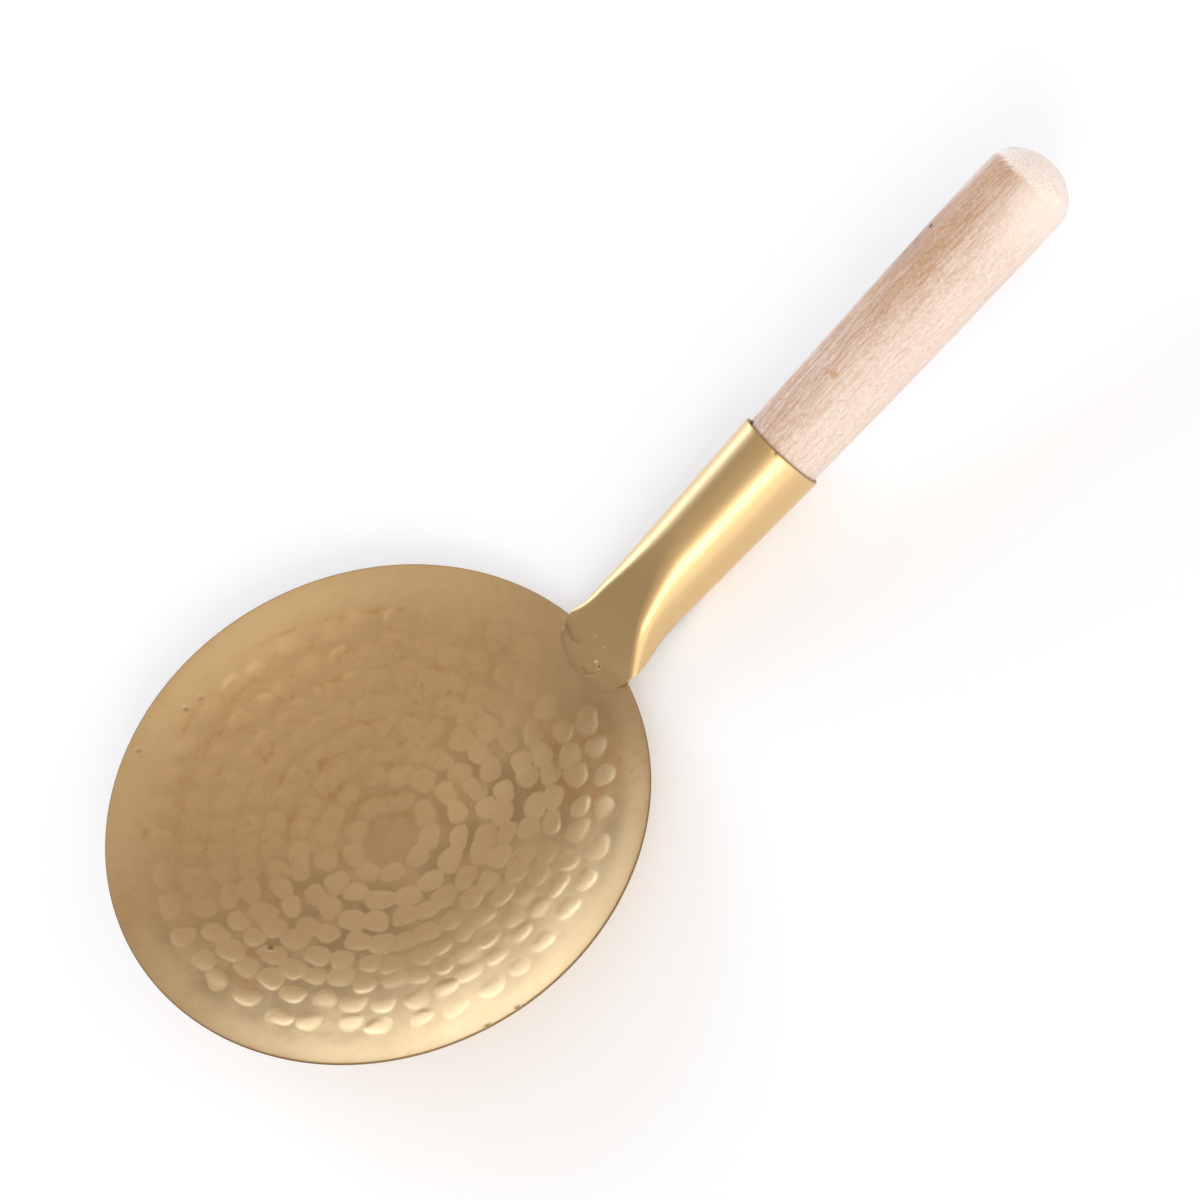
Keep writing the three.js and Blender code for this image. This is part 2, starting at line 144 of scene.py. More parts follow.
class Skin:
    """A mesh under construction, in millimetres, with tags on its points for the finish."""

    def __init__(self) -> None:
        """Start with no points."""
        self.points: list[Array] = []
        self.tags: dict[Tag, list[Array]] = {tag: [] for tag in Tag}
        self.faces: list[tuple[int, ...]] = []
        self.count = 0

    def add(self, points: Array, tags: dict[Tag, Array | float] | None = None) -> list[int]:
        """Add a row of points.

        Args:
            points: An array of n by 3.
            tags: Values of the points' tags; those left out are 0.

        Returns:
            The numbers of the new points.
        """
        rows = np.asarray(points, float).reshape(-1, 3)
        first = self.count
        self.points.append(rows)
        for tag, column in self.tags.items():
            column.append(np.broadcast_to((tags or {}).get(tag, 0.0), len(rows)))
        self.count += len(rows)
        return list(range(first, self.count))

    def strip(self, here: list[int], there: list[int], closed: bool = True) -> None:
        """Join two rows with quads, or with triangles where one ring has twice the points of the other.

        Args:
            here: The row on the left of the walk.
            there: The row on the right.
            closed: True where the rows are rings.
        """
        a = here + here[:1] if closed else here
        b = there + there[:1] if closed else there
        if len(here) == len(there):
            for i in range(len(a) - 1):
                self.faces.append((a[i], b[i], b[i + 1], a[i + 1]))
            return
        flip = len(here) > len(there)
        few, many = (b, a) if flip else (a, b)
        for i in range(len(few) - 1):
            first, tip, last = many[2 * i : 2 * i + 3]
            for face in ((few[i], first, tip), (few[i], tip, few[i + 1]), (few[i + 1], tip, last)):
                self.faces.append(face[::-1] if flip else face)

    def wall(self, rings: list[list[int]]) -> None:
        """Join rings, each with the next."""
        for here, there in zip(rings[:-1], rings[1:]):
            self.strip(here, there)

    def fan(self, pole: int, ring: list[int], flip: bool = False) -> None:
        """Close a ring with triangles to a pole.

        Args:
            pole: The number of the pole's point.
            ring: The ring.
            flip: True to turn the triangles over.
        """
        for i, here in enumerate(ring):
            there = ring[(i + 1) % len(ring)]
            self.faces.append((pole, there, here) if flip else (pole, here, there))

    def build(self, name: str, place: Matrix, crease: float) -> Object:
        """Make the object.

        Args:
            name: The object's name.
            place: Where its frame lies in the row frame.
            crease: Edges that bend by more than this many degrees stay sharp.

        Returns:
            The linked object.
        """
        mesh = bpy.data.meshes.new(name)
        turned_points = np.vstack(self.points) * MM @ np.array(place.to_3x3()).T
        mesh.from_pydata((turned_points + np.array(place.translation)).tolist(), [], self.faces)
        mesh.validate()
        mesh.shade_smooth()
        mesh.set_sharp_from_angle(angle=math.radians(crease))
        for tag, column in self.tags.items():
            values = np.concatenate(column)
            if values.any():
                mesh.attributes.new(tag.value, "FLOAT", "POINT").data.foreach_set("value", values)
        return linked(name, mesh)

    def piece(self, part: Part, place: Matrix, material: Material) -> Object:
        """Make the piece that stands for a solid.

        Args:
            part: Which piece it is.
            place: Where its frame lies in the row frame.
            material: Its finish.

        Returns:
            The piece.
        """
        name, node, slot, crease = part.value
        piece = self.build(name, place, crease)
        piece.data.materials.append(material)
        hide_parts(node)
        return piece


def turned(profile: list[Range], steps: int, upright: bool) -> Skin:
    """Turn a profile that starts and ends on its axis.

    Args:
        profile: Pairs of radius and place along the axis.
        steps: How many sides it has.
        upright: True for a turn round Z, False for one round X.

    Returns:
        The closed skin.
    """
    skin = Skin()
    angle = circle(steps)
    rings: list[list[int]] = []
    for radius, along in profile:
        count = 1 if radius == 0.0 else steps
        flat = np.column_stack([radius * np.cos(angle), radius * np.sin(angle)])[:count]
        level = np.full((count, 1), along)
        rings.append(skin.add(np.hstack([flat, level] if upright else [level, flat])))
    skin.fan(rings[0][0], rings[1], flip=True)
    skin.wall(rings[-2:0:-1])
    skin.fan(rings[-1][0], rings[-2])
    return skin


@dataclass(frozen=True)
class Mottle:
    """A noise: waves in a metre, finer layers, their strength, the ends of its ease, its share along X."""

    scale: float
    detail: float = 2.0
    roughness: float = 0.5
    eased: Range | None = None
    along: float = 1.0


class Wire:
    """An output of a node. Sums and products of wires add Math nodes."""

    def __init__(self, sheet: NodeSheet, socket: NodeSocket) -> None:
        """Keep the output and the sheet that it is on."""
        self.sheet = sheet
        self.socket = socket

    def join(self, operation: str, other: Wire | float) -> Wire:
        """Join this and the other in a Math node."""
        return self.sheet.math(operation, self, other)

    def __rsub__(self, other: float) -> Wire:
        """Take this away from the other."""
        return self.sheet.math("SUBTRACT", other, self)

    __add__ = partialmethod(join, "ADD")
    __sub__ = partialmethod(join, "SUBTRACT")
    __mul__ = partialmethod(join, "MULTIPLY")
    at_least = partialmethod(join, "MAXIMUM")
    at_most = partialmethod(join, "MINIMUM")

    def ease(self, span: Range, unit: float = 1.0) -> Wire:
        """Ease from 0 at the span's first end to 1 at its second, both in the given unit."""
        inputs = {"Value": self, "From_Min": span[0] * unit, "From_Max": span[1] * unit}
        return self.sheet.add("ShaderNodeMapRange", {"interpolation_type": "SMOOTHSTEP"}, **inputs)[0]


class NodeSheet:
    """Adds, sets and links the nodes of one tree."""

    def __init__(self, tree: NodeTree) -> None:
        """Empty the tree, whose textures follow a place that is set later.

        Args:
            tree: The tree to fill.
        """
        self.tree = tree
        self.place: Wire | None = None
        tree.nodes.clear()

    def add(self, kind: str, settings: dict | None = None, **inputs: object) -> dict[int | str, Wire]:
        """Add a node.

        Args:
            kind: The node's type name.
            settings: Properties to set on the node.
            **inputs: Wires or values, by the input's name with _ for a blank, or by n and its number.

        Returns:
            The outputs, by number and by name.
        """
        node = self.tree.nodes.new(kind)
        for key, value in (settings or {}).items():
            setattr(node, key, value)
        for key, value in inputs.items():
            numbered = key[0] == "n" and key[1:].isdigit()
            socket = node.inputs[int(key[1:]) if numbered else key.replace("_", " ")]
            if isinstance(value, Wire):
                self.tree.links.new(value.socket, socket)
            else:
                socket.default_value = (*value, 1.0) if socket.type == "RGBA" else value
        wires = [Wire(self, socket) for socket in node.outputs]
        return {**dict(enumerate(wires)), **{wire.socket.name: wire for wire in wires}}

    def math(self, operation: str, first: Wire | float, second: Wire | float = 0.0) -> Wire:
        """Add a Math node and give its result."""
        return self.add("ShaderNodeMath", {"operation": operation}, n0=first, n1=second)[0]

    def mix(self, share: Wire, first: Wire | Colour, second: Wire | Colour) -> Wire:
        """Mix two colours by the share of the second."""
        settings = {"data_type": "RGBA", "clamp_factor": True}
        return self.add("ShaderNodeMix", settings, n0=share, n6=first, n7=second)[2]

    def tag(self, tag: Tag) -> Wire:
        """Give the value of a tag on the mesh's points."""
        return self.add("ShaderNodeAttribute", {"attribute_name": tag.value})["Fac"]

    def stretched(self, share: float) -> Wire:
        """Stretch the place along X, where only a share of it is left."""
        return self.add("ShaderNodeMapping", Vector=self.place, Scale=(share, 1.0, 1.0))[0]

    def mottle(self, kind: Mottle) -> Wire:
        """Add a noise.

        Args:
            kind: What the noise is like.

        Returns:
            Its value, eased where the kind says so.
        """
        vector = self.place if kind.along == 1.0 else self.stretched(kind.along)
        looks = {"Scale": kind.scale, "Detail": kind.detail, "Roughness": kind.roughness}
        value = self.add("ShaderNodeTexNoise", Vector=vector, **looks)["Fac"]
        return value.ease(kind.eased) if kind.eased else value

    def surface(self, bump: dict[str, object], **inputs: object) -> None:
        """Add the bumped shader and the material's output.

        Args:
            bump: Inputs of the Bump node.
            **inputs: Inputs of the Principled shader.
        """
        normal = self.add("ShaderNodeBump", **bump)[0]
        shader = self.add("ShaderNodeBsdfPrincipled", Normal=normal, **inputs)[0]
        self.add("ShaderNodeOutputMaterial", Surface=shader)


def new_material(name: str) -> tuple[Material, NodeSheet]:
    """Make a material with no nodes.

    Args:
        name: The material's name.

    Returns:
        The material and the sheet of its nodes.
    """
    made = bpy.data.materials.new(name)
    made.use_nodes = True
    return made, NodeSheet(made.node_tree)


@dataclass(frozen=True)
class Patina:
    """The hammer's burnish, the stains, specks and fine grain that all the brass shares, as a node group."""

    INPUTS: ClassVar[dict[str, tuple[str, ...]]] = {
        "NodeSocketColor": ("Clean", "Dull", "Burnished", "Stain", "Soil"),
        "NodeSocketFloat": ("Stain_Share", "Speck_Share", "Satin", "Satin_Spread"),
    }
    OUTPUTS: ClassVar[dict[str, tuple[str, ...]]] = {
        "NodeSocketColor": ("Color",),
        "NodeSocketFloat": ("Roughness", "Height"),
    }
    name: str = "brass_patina"
    patches: Mottle = Mottle(90.0, 3.0, 0.6, (0.3, 0.62))
    fray: Mottle = Mottle(900.0)
    fray_share: float = 0.24
    mark_edge: Range = (0.46, 0.82)
    clouds: Mottle = Mottle(70.0, 4.0, 0.6, (0.38, 0.72))
    cloud_share: float = 0.6
    grime: Mottle = Mottle(420.0, 3.0, 0.6, (0.48, 0.76))
    grime_share: float = 0.7
    burnished_off: float = 0.7
    smear_least: float = 0.6
    flecks: Mottle = Mottle(900.0, eased=(0.71, 0.78))
    gathers: Mottle = Mottle(55.0, eased=(0.5, 0.66))
    swing: Mottle = Mottle(130.0, 4.0, 0.65)
    burnish_gloss: float = 0.4
    dark_rough: float = 0.2
    grain: Mottle = Mottle(2600.0, 3.0, 0.6)
    speck_depth: float = 1.5

    def group(self) -> NodeTree:
        """Give the group, making it at the first call."""
        made = bpy.data.node_groups.get(self.name)
        return made if made is not None else self._make()

    def _make(self) -> NodeTree:
        """Build the group.

        Returns:
            The node group.
        """
        group = bpy.data.node_groups.new(self.name, "ShaderNodeTree")
        for side, sockets in (("INPUT", self.INPUTS), ("OUTPUT", self.OUTPUTS)):
            for kind, labels in sockets.items():
                for label in labels:
                    name = label.replace("_", " ")
                    group.interface.new_socket(name=name, in_out=side, socket_type=kind)
        sheet = NodeSheet(group)
        given = sheet.add("NodeGroupInput")
        sheet.place = sheet.add("ShaderNodeTexCoord")["Object"]
        struck, tone, worn, smear, soil = (sheet.tag(tag) for tag in Tag)
        inside = (struck + sheet.mottle(self.fray) * self.fray_share).ease(self.mark_edge)
        dull = (1.0 - inside) * worn * sheet.mottle(self.patches)
        burnish = inside * worn * tone
        grime = sheet.mottle(self.grime)
        stained = sheet.mottle(self.clouds) * self.cloud_share + grime * self.grime_share
        stained = stained * (1.0 - burnish * self.burnished_off) * given["Stain Share"]
        # the smear tag also carries a painted dark reflection beside the tongue
        stained = stained.at_least(smear * (grime + self.smear_least))
        speck = sheet.mottle(self.flecks) * sheet.mottle(self.gathers) * given["Speck Share"]
        # the soil tag also carries painted shade, on the lip of the socket's mouth
        dark = speck.at_least(soil)
        colour = sheet.mix(burnish, sheet.mix(dull, given["Clean"], given["Dull"]), given["Burnished"])
        colour = sheet.mix(dark, sheet.mix(stained, colour, given["Stain"]), given["Soil"])
        swing = sheet.mottle(self.swing) - burnish * self.burnish_gloss
        rough = given["Satin"] + swing * given["Satin Spread"] + dark * self.dark_rough
        height = sheet.mottle(self.grain) - speck * self.speck_depth
        sheet.add("NodeGroupOutput", Color=colour, Roughness=rough, Height=height)
        return group


@dataclass(frozen=True)
class BrassFinish:
    """A brass surface: its colours, how stained it is and how satin."""

    name: str
    clean: Colour
    dull: Colour
    burnished: Colour
    stain: Colour
    soil: Colour
    stain_share: float
    speck_share: float
    satin: float
    satin_spread: float
    grain_height: float

    def material(self) -> Material:
        """Build the material.

        Returns:
            The material.
        """
        made, sheet = new_material(self.name)
        labels = [label for row in Patina.INPUTS.values() for label in row]
        given = {label: getattr(self, label.lower()) for label in labels}
        patina = sheet.add("ShaderNodeGroup", {"node_tree": Patina().group()}, **given)
        bump = {"Strength": 1.0, "Distance": self.grain_height * MM, "Height": patina["Height"]}
        sheet.surface(bump, Base_Color=patina["Color"], Metallic=1.0, Roughness=patina["Roughness"])
        return made


@dataclass(frozen=True)
class WoodStainAndShade:
    """A small patch of colour round a point of the shaft frame: most are stains in the wood, some painted
    shade.
    """

    spot: Point
    radius: float
    colour: Colour
    share: float
    drawn: float = 1.0
    core: float = 0.4


@dataclass(frozen=True)
class BeechFinish:
    """Sanded beech: its pale ground, tan growth layers, flecks, stains and end grain, with painted shade at
    the socket's mouth and the butt's edge.
    """

    name: str
    pale: Colour
    tan: Colour
    fleck: Colour
    end_grain: Colour
    pore: Colour
    mouth_shade: Colour
    flaws: tuple[WoodStainAndShade, ...]
    tan_rise: Range = (-11.4, 3.6)
    tan_fall: Range = (10.5, 4.8)
    tan_limit: float = 1.12
    tan_share: float = 0.7
    deepening: Range = (82.0, 124.0)
    deep_share: float = 0.54
    deep_least: float = 0.23
    bands: Mottle = Mottle(190.0, eased=(0.36, 0.66), along=0.05)
    band_share: float = 0.4
    pith: Point = (0.0, 0.021, 0.034)
    layers: float = 420.0
    layer_peak: float = 0.8
    layer_share: float = 0.12
    sway: Mottle = Mottle(260.0, along=0.15)
    sway_share: float = 3.0
    streaks: Mottle = Mottle(1250.0, 3.0, 0.6, (0.4, 0.6), 0.09)
    streak_share: float = 0.3
    streak_least: float = 0.21
    fibres: Mottle = Mottle(2200.0, 3.0, 0.7, along=0.42)
    fibre_share: float = 1.9
    dashes: Mottle = Mottle(1500.0, 1.0, eased=(0.6, 0.72), along=0.3)
    dash_depth: float = 0.6
    pores: float = 1900.0
    pore_edge: Range = (0.42, 0.16)
    pore_patches: Mottle = Mottle(600.0, eased=(0.28, 0.58))
    rubbed_end: Range = (126.0, 146.0)
    rubbed_side: Range = (0.0, -9.0)
    rubbed_share: float = 0.6
    butt: Range = (146.3, 147.4)
    butt_fray: float = 0.8
    # painted shade: the wood darkens into the gap at the socket's mouth, most towards its far corner
    mouth_gap: Range = (62.95, 62.6)
    mouth_corner: Range = (5.4, 9.0)
    mouth_least: float = 0.3
    patch_fray: Mottle = Mottle(900.0, along=0.2)
    patch_fray_gain: float = 2.0
    roughness: float = 0.55
    fibre_rough: float = 0.16
    relief: float = 0.05
    relief_strength: float = 0.5
    specular: float = 0.25
    sheen: float = 0.12

    def material(self, shaft: Matrix) -> Material:
        """Build the material.

        Args:
            shaft: The shaft frame in the row frame, which the grain follows.

        Returns:
            The material.
        """
        made, sheet = new_material(self.name)
        sheet.place = sheet.add(
            "ShaderNodeMapping",
            {"vector_type": "TEXTURE"},
            Vector=sheet.add("ShaderNodeTexCoord")["Object"],
            Location=tuple(shaft.translation),
            Rotation=tuple(shaft.to_euler()),
        )[0]
        axes = sheet.add("ShaderNodeSeparateXYZ", Vector=sheet.place)
        along, across = axes[0], axes[1]
        streak = sheet.mottle(self.streaks)
        fibre = sheet.mottle(self.fibres)
        dash = sheet.mottle(self.dashes)
        sided = across.ease(self.tan_rise, MM) * across.ease(self.tan_fall, MM)
        deep = along.ease(self.deepening, MM) * self.deep_share + self.deep_least
        drawn = sided * self.streak_share + self.streak_least
        tone = (sheet.mottle(self.bands) * self.band_share + deep) * sided
        tone = tone + self._layers(sheet) * self.layer_share + streak * drawn
        tone = tone.at_most(self.tan_limit) + (fibre - NOISE_MIDDLE) * self.fibre_share
        sides = sheet.mix(dash * drawn, sheet.mix(tone * self.tan_share, self.pale, self.tan), self.fleck)
        rubbed = along.ease(self.rubbed_end, MM) * across.ease(self.rubbed_side, MM) * self.rubbed_share
        sides = sheet.mix(rubbed, sides, self.end_grain)
        cells = sheet.add("ShaderNodeTexVoronoi", Vector=sheet.place, Scale=self.pores)["Distance"]
        dots = cells.ease(self.pore_edge) * sheet.mottle(self.pore_patches)
        sanded = along + streak * (self.butt_fray * MM)
        colour = sheet.mix(sanded.ease(self.butt, MM), sides, sheet.mix(dots, self.end_grain, self.pore))
        # painted shade in the gap at the socket's mouth
        gap = along.ease(self.mouth_gap, MM) * (across.ease(self.mouth_corner, MM) + self.mouth_least)
        colour = sheet.mix(gap, colour, self.mouth_shade)
        for flaw in self.flaws:
            colour = self._patched(sheet, colour, flaw)
        relief = fibre - dash * self.dash_depth
        sheet.surface(
            {"Strength": self.relief_strength, "Distance": self.relief * MM, "Height": relief},
            Base_Color=colour,
            Roughness=fibre * self.fibre_rough + self.roughness,
            Specular_IOR_Level=self.specular,
            Sheen_Weight=self.sheen,
        )
        return made

    def _layers(self, sheet: NodeSheet) -> Wire:
        """Lay the growth layers, rings round a pith far outside the handle.

        Args:
            sheet: The material's nodes.

        Returns:
            The layers' share of tan.
        """
        inputs = {"Vector": sheet.place, "Location": self.pith, "Scale": (0.0, 1.0, 1.0)}
        moved = sheet.add("ShaderNodeMapping", **inputs)[0]
        far = sheet.add("ShaderNodeVectorMath", {"operation": "LENGTH"}, n0=moved)["Value"]
        turns = far * self.layers + sheet.mottle(self.sway) * self.sway_share
        part = sheet.math("FRACT", turns)
        return part.ease((0.0, self.layer_peak)) * part.ease((1.0, self.layer_peak))

    def _patched(self, sheet: NodeSheet, colour: Wire, flaw: WoodStainAndShade) -> Wire:
        """Lay one patch, a stain or painted shade, over the colour.

        Args:
            sheet: The material's nodes.
            colour: The colour so far.
            flaw: The patch.

        Returns:
            The colour with the patch.
        """
        middle = (flaw.spot[0] * flaw.drawn * MM, flaw.spot[1] * MM, flaw.spot[2] * MM)
        near = sheet.stretched(flaw.drawn)
        apart = sheet.add("ShaderNodeVectorMath", {"operation": "DISTANCE"}, n0=near, n1=middle)["Value"]
        ragged = apart * (sheet.mottle(self.patch_fray) * self.patch_fray_gain)
        share = ragged.ease((flaw.radius, flaw.core * flaw.radius), MM) * flaw.share
        return sheet.mix(share, colour, flaw.colour)


@dataclass(frozen=True)
class Spot:
    """A pit or a nick in the brass, round a point of the piece's frame."""

    CORE: ClassVar[float] = 0.2
    x: float
    y: float
    radius: float
    depth: float
    soil: float

    def cover(self, x: Array, y: Array) -> Array:
        """Share of the spot at some points."""
        return smooth_step(self.radius, self.CORE * self.radius, distance_to(x, y, (self.x, self.y)))


@dataclass(frozen=True)
class Groove:
    """A short groove in the brass, between two points of the piece's frame."""

    start: Range
    end: Range
    half_width: float
    depth: float
    soil: float

    def cover(self, x: Array, y: Array) -> Array:
        """Share of the groove at some points.

        Args:
            x: The points' X.
            y: The points' Y.

        Returns:
            The shares.
        """
        run = (self.end[0] - self.start[0], self.end[1] - self.start[1])
        along = ((x - self.start[0]) * run[0] + (y - self.start[1]) * run[1]) / (run[0] ** 2 + run[1] ** 2)
        part = np.clip(along, 0.0, 1.0)
        nearest = (self.start[0] + part * run[0], self.start[1] + part * run[1])
        return smooth_step(self.half_width, 0.0, distance_to(x, y, nearest))


Flaws = tuple[Spot | Groove, ...]


def bitten(flaws: Flaws, x: Array, y: Array) -> tuple[Array, Array]:
    """Find how deep and how dark the brass is bitten at some points.

    Args:
        flaws: The spots and grooves.
        x: The points' X.
        y: The points' Y.

    Returns:
        The depths and the shares of soil.
    """
    depth, soil = np.zeros((2, len(x)))
    for flaw in flaws:
        share = flaw.cover(x, y)
        depth = depth + flaw.depth * share
        soil = np.maximum(soil, flaw.soil * share)
    return depth, soil


@dataclass(frozen=True)
class HammerMark:
    """One oval mark of the hammer on the inside of the dish, flat and burnished, with a crisp edge."""

    OVAL_POWER: ClassVar[float] = 2.4
    HOLLOW_POWER: ClassVar[float] = 2.6
    UNEVEN: ClassVar[float] = 0.06
    x: float
    y: float
    turn: float
    half_long: float
    half_short: float
    depth: float
    lean_long: float
    lean_short: float
    tone: float
    wobble: float

    def measure(self, x: Array, y: Array, edge: float) -> tuple[Array, Array]:
        """Find how far some points lie inside the mark, and how deep it is there.

        Args:
            x: The points' X.
            y: The points' Y.
            edge: Width of the slope at the mark's edge.

        Returns:
            The distances from the edge, below 0 outside, and the depths.
        """
        power = self.OVAL_POWER
        u = (x - self.x) * math.cos(self.turn) + (y - self.y) * math.sin(self.turn)
        v = (y - self.y) * math.cos(self.turn) - (x - self.x) * math.sin(self.turn)
        reach = (np.abs(u / self.half_long) ** power + np.abs(v / self.half_short) ** power) ** (1 / power)
        angle = np.arctan2(v, u)
        uneven = np.sin(2.0 * angle + self.wobble) + np.sin(3.0 * angle - 2.0 * self.wobble)
        reach = reach * (1.0 + self.UNEVEN * uneven)
        inside = (1.0 - reach) * math.sqrt(self.half_long * self.half_short)
        lean = (self.lean_long * u + self.lean_short * v) * smooth_step(0.0, edge, inside)
        return inside, lean + self.depth * np.maximum(0.0, 1.0 - reach**self.HOLLOW_POWER)


@dataclass(frozen=True)
class Smear:
    """A brown smear that the burnisher left along a ring of marks."""

    CORE: ClassVar[float] = 0.3
    WANDER: ClassVar[float] = 0.8
    WAVES: ClassVar[float] = 5.0
    radius: float
    angle: float
    half_angle: float
    half_width: float
    share: float

    def cover(self, radius: float, angle: Array) -> Array:
        """Share of the smear at some points.

        Args:
            radius: The points' radius.
            angle: The points' angles.

        Returns:
            The shares.
        """
        off = np.abs((angle - self.angle + math.pi) % FULL_TURN - math.pi)
        aside = radius - self.radius - self.WANDER * np.sin(self.WAVES * angle)
        lengthwise = smooth_step(self.half_angle, self.CORE * self.half_angle, off)
        return self.share * lengthwise * smooth_step(self.half_width, 0.0, np.abs(aside))


@dataclass
class Dish:
    """The round, shallow dish with its rings of hammer marks."""

    finish: BrassFinish
    radius: float = 65.0
    depth: float = 15.5
    sheet: float = 1.2
    flat_radius: float = 6.0
    wall_power: float = 1.08
    rim_round: float = 0.22
    rim_steps: int = 4
    # the rim's rounded edge is painted darker all round
    rim_darkening: float = 0.85
    rim_thin: float = 0.58
    rim_thin_run: float = 5.0
    seat_run: float = 2.0
    slope_reach: float = 0.1
    ring_radii: tuple[float, ...] = (9.1, 16.2, 22.4, 28.3, 34.3, 40.0, 46.2, 53.2)
    ring_marks: tuple[int, ...] = (9, 16, 23, 29, 35, 40, 41, 39)
    mark_long: float = 3.25
    mark_short: float = 2.6
    mark_depth: float = 0.095
    mark_edge: float = 1.0
    mark_lean: float = 0.014
    mark_crowd: float = 0.52
    mark_slip: float = 0.17
    mark_stray: float = 0.5
    mark_twist: float = 0.2
    long_spread: Range = (0.86, 1.12)
    short_spread: Range = (0.86, 1.14)
    depth_spread: Range = (0.6, 1.25)
    tone_spread: Range = (0.45, 1.0)
    mark_seed: int = 11
    smear_count: int = 110
    smear_off: Range = (2.2, 3.4)
    smear_run: Range = (2.5, 9.0)
    smear_stray: float = 0.8
    smear_width: Range = (0.9, 2.1)
    smear_share: Range = (0.45, 0.95)
    tongue_clear: float = 17.0
    show_through: float = 0.5
    worn_side: Fade = Fade(30.0, -10.0, 0.16)
    lit_turn: Fade = Fade(0.6, 0.97)
    lit_reach: Fade = Fade(15.0, 35.0)
    lit_share: float = 0.6
    middle: Fade = Fade(8.0, 16.0, 0.45)
    calm_spot: Range = (50.0, 2.0)
    # painted reflection: a dark brown patch beside the tongue's near side stands in for a dark reflection
    calm: Fade = Fade(20.0, 8.0, 1.0, 0.25)
    dark_reflection_spot: Range = (44.0, -22.0)
    dark_reflection: Fade = Fade(22.0, 6.0)
    dark_reflection_edge: Fade = Fade(0.3, -0.3)
    brown_reach: Fade = Fade(59.0, 50.0, last=0.45)
    brown_side: Fade = Fade(-15.0, 25.0)
    band: Fade = Fade(9.0, 4.0, 1.0, 0.0)
    polish_run: Fade = Fade(14.0, 3.0)
    polish_side: Fade = Fade(8.0, 40.0)
    polish_edge: Fade = Fade(0.0, 0.4)
    polish_worn: float = 0.7
    wave_height: float = 0.08
    wave_fade: float = 12.0
    long_wave: Range = (7.1, 8.3)
    long_phase: Range = (0.6, -0.9)
    short_wave: Range = (4.7, 5.9)
    short_share: float = 0.6
    cell: float = 0.5
    cell_stretch: float = 1.35
    first_count: int = 12
    spots: Flaws = ()
    marks: list[HammerMark] = field(default_factory=list)
    smears: list[Smear] = field(default_factory=list)

    def height(self, radius: Array | float) -> Array:
        """Height of the smooth inside at a radius: level in the middle, easing up to the rim."""
        share = np.clip((radius - self.flat_radius) / (self.radius - self.flat_radius), 0.0, 1.0)
        return -self.depth * (1.0 - share * share) ** self.wall_power

    def seat(self, radius: Array) -> Array:
        """Height of the inside for what lies on it, running straight on over the last of the rim.

        Args:
            radius: The points' radius.

        Returns:
            The heights.
        """
        last = self.radius - self.seat_run
        slope = (self.height(last) - self.height(last - self.cell)) / self.cell
        return self.height(np.minimum(radius, last)) + slope * np.maximum(0.0, radius - last)

    def drop(self, radius: float) -> float:
        """Thickness straight down at a radius: even on the slope, and dressed thinner at the rim.

        Args:
            radius: The radius.

        Returns:
            The thickness.
        """
        reach = self.slope_reach
        slope = (self.height(radius + reach) - self.height(radius - reach)) / (2 * reach)
        thinned = 1.0 - self.rim_thin * smooth_step(self.rim_thin_run, 0.0, self.radius - radius)
        return float(self.sheet * thinned * np.hypot(1.0, slope))

    def strike(self) -> None:
        """Place the hammer marks, ring by ring as a hand does, and the smears between the rings."""
        rng = random.Random(self.mark_seed)
        for ring, count in zip(self.ring_radii, self.ring_marks):
            start = rng.uniform(0.0, FULL_TURN)
            apart = FULL_TURN / count
            longest = min(self.mark_long, self.mark_crowd * apart * ring)
            for i in range(count):
                angle = start + (i + rng.uniform(-self.mark_slip, self.mark_slip)) * apart
                out = ring + rng.gauss(0.0, self.mark_stray)
                mark = HammerMark(
                    x=out * math.cos(angle),
                    y=out * math.sin(angle),
                    turn=angle + QUARTER_TURN + rng.gauss(0.0, self.mark_twist),
                    half_long=longest * rng.uniform(*self.long_spread),
                    half_short=self.mark_short * rng.uniform(*self.short_spread),
                    depth=self.mark_depth * rng.uniform(*self.depth_spread),
                    lean_long=self.mark_lean * rng.gauss(0.0, 1.0),
                    lean_short=self.mark_lean * rng.gauss(0.0, 1.0),
                    tone=rng.uniform(*self.tone_spread),
                    wobble=rng.uniform(0.0, FULL_TURN),
                )
                if math.hypot(mark.x - self.radius, mark.y) > self.tongue_clear:
                    self.marks.append(mark)
        for _ in range(self.smear_count):
            ring = rng.choice(self.ring_radii) + rng.choice((-1.0, 1.0)) * rng.uniform(*self.smear_off)
            half_angle = rng.uniform(*self.smear_run) / ring
            angle = QUARTER_TURN + rng.gauss(0.0, self.smear_stray)
            half_width = rng.uniform(*self.smear_width)
            self.smears.append(Smear(ring, angle, half_angle, half_width, rng.uniform(*self.smear_share)))

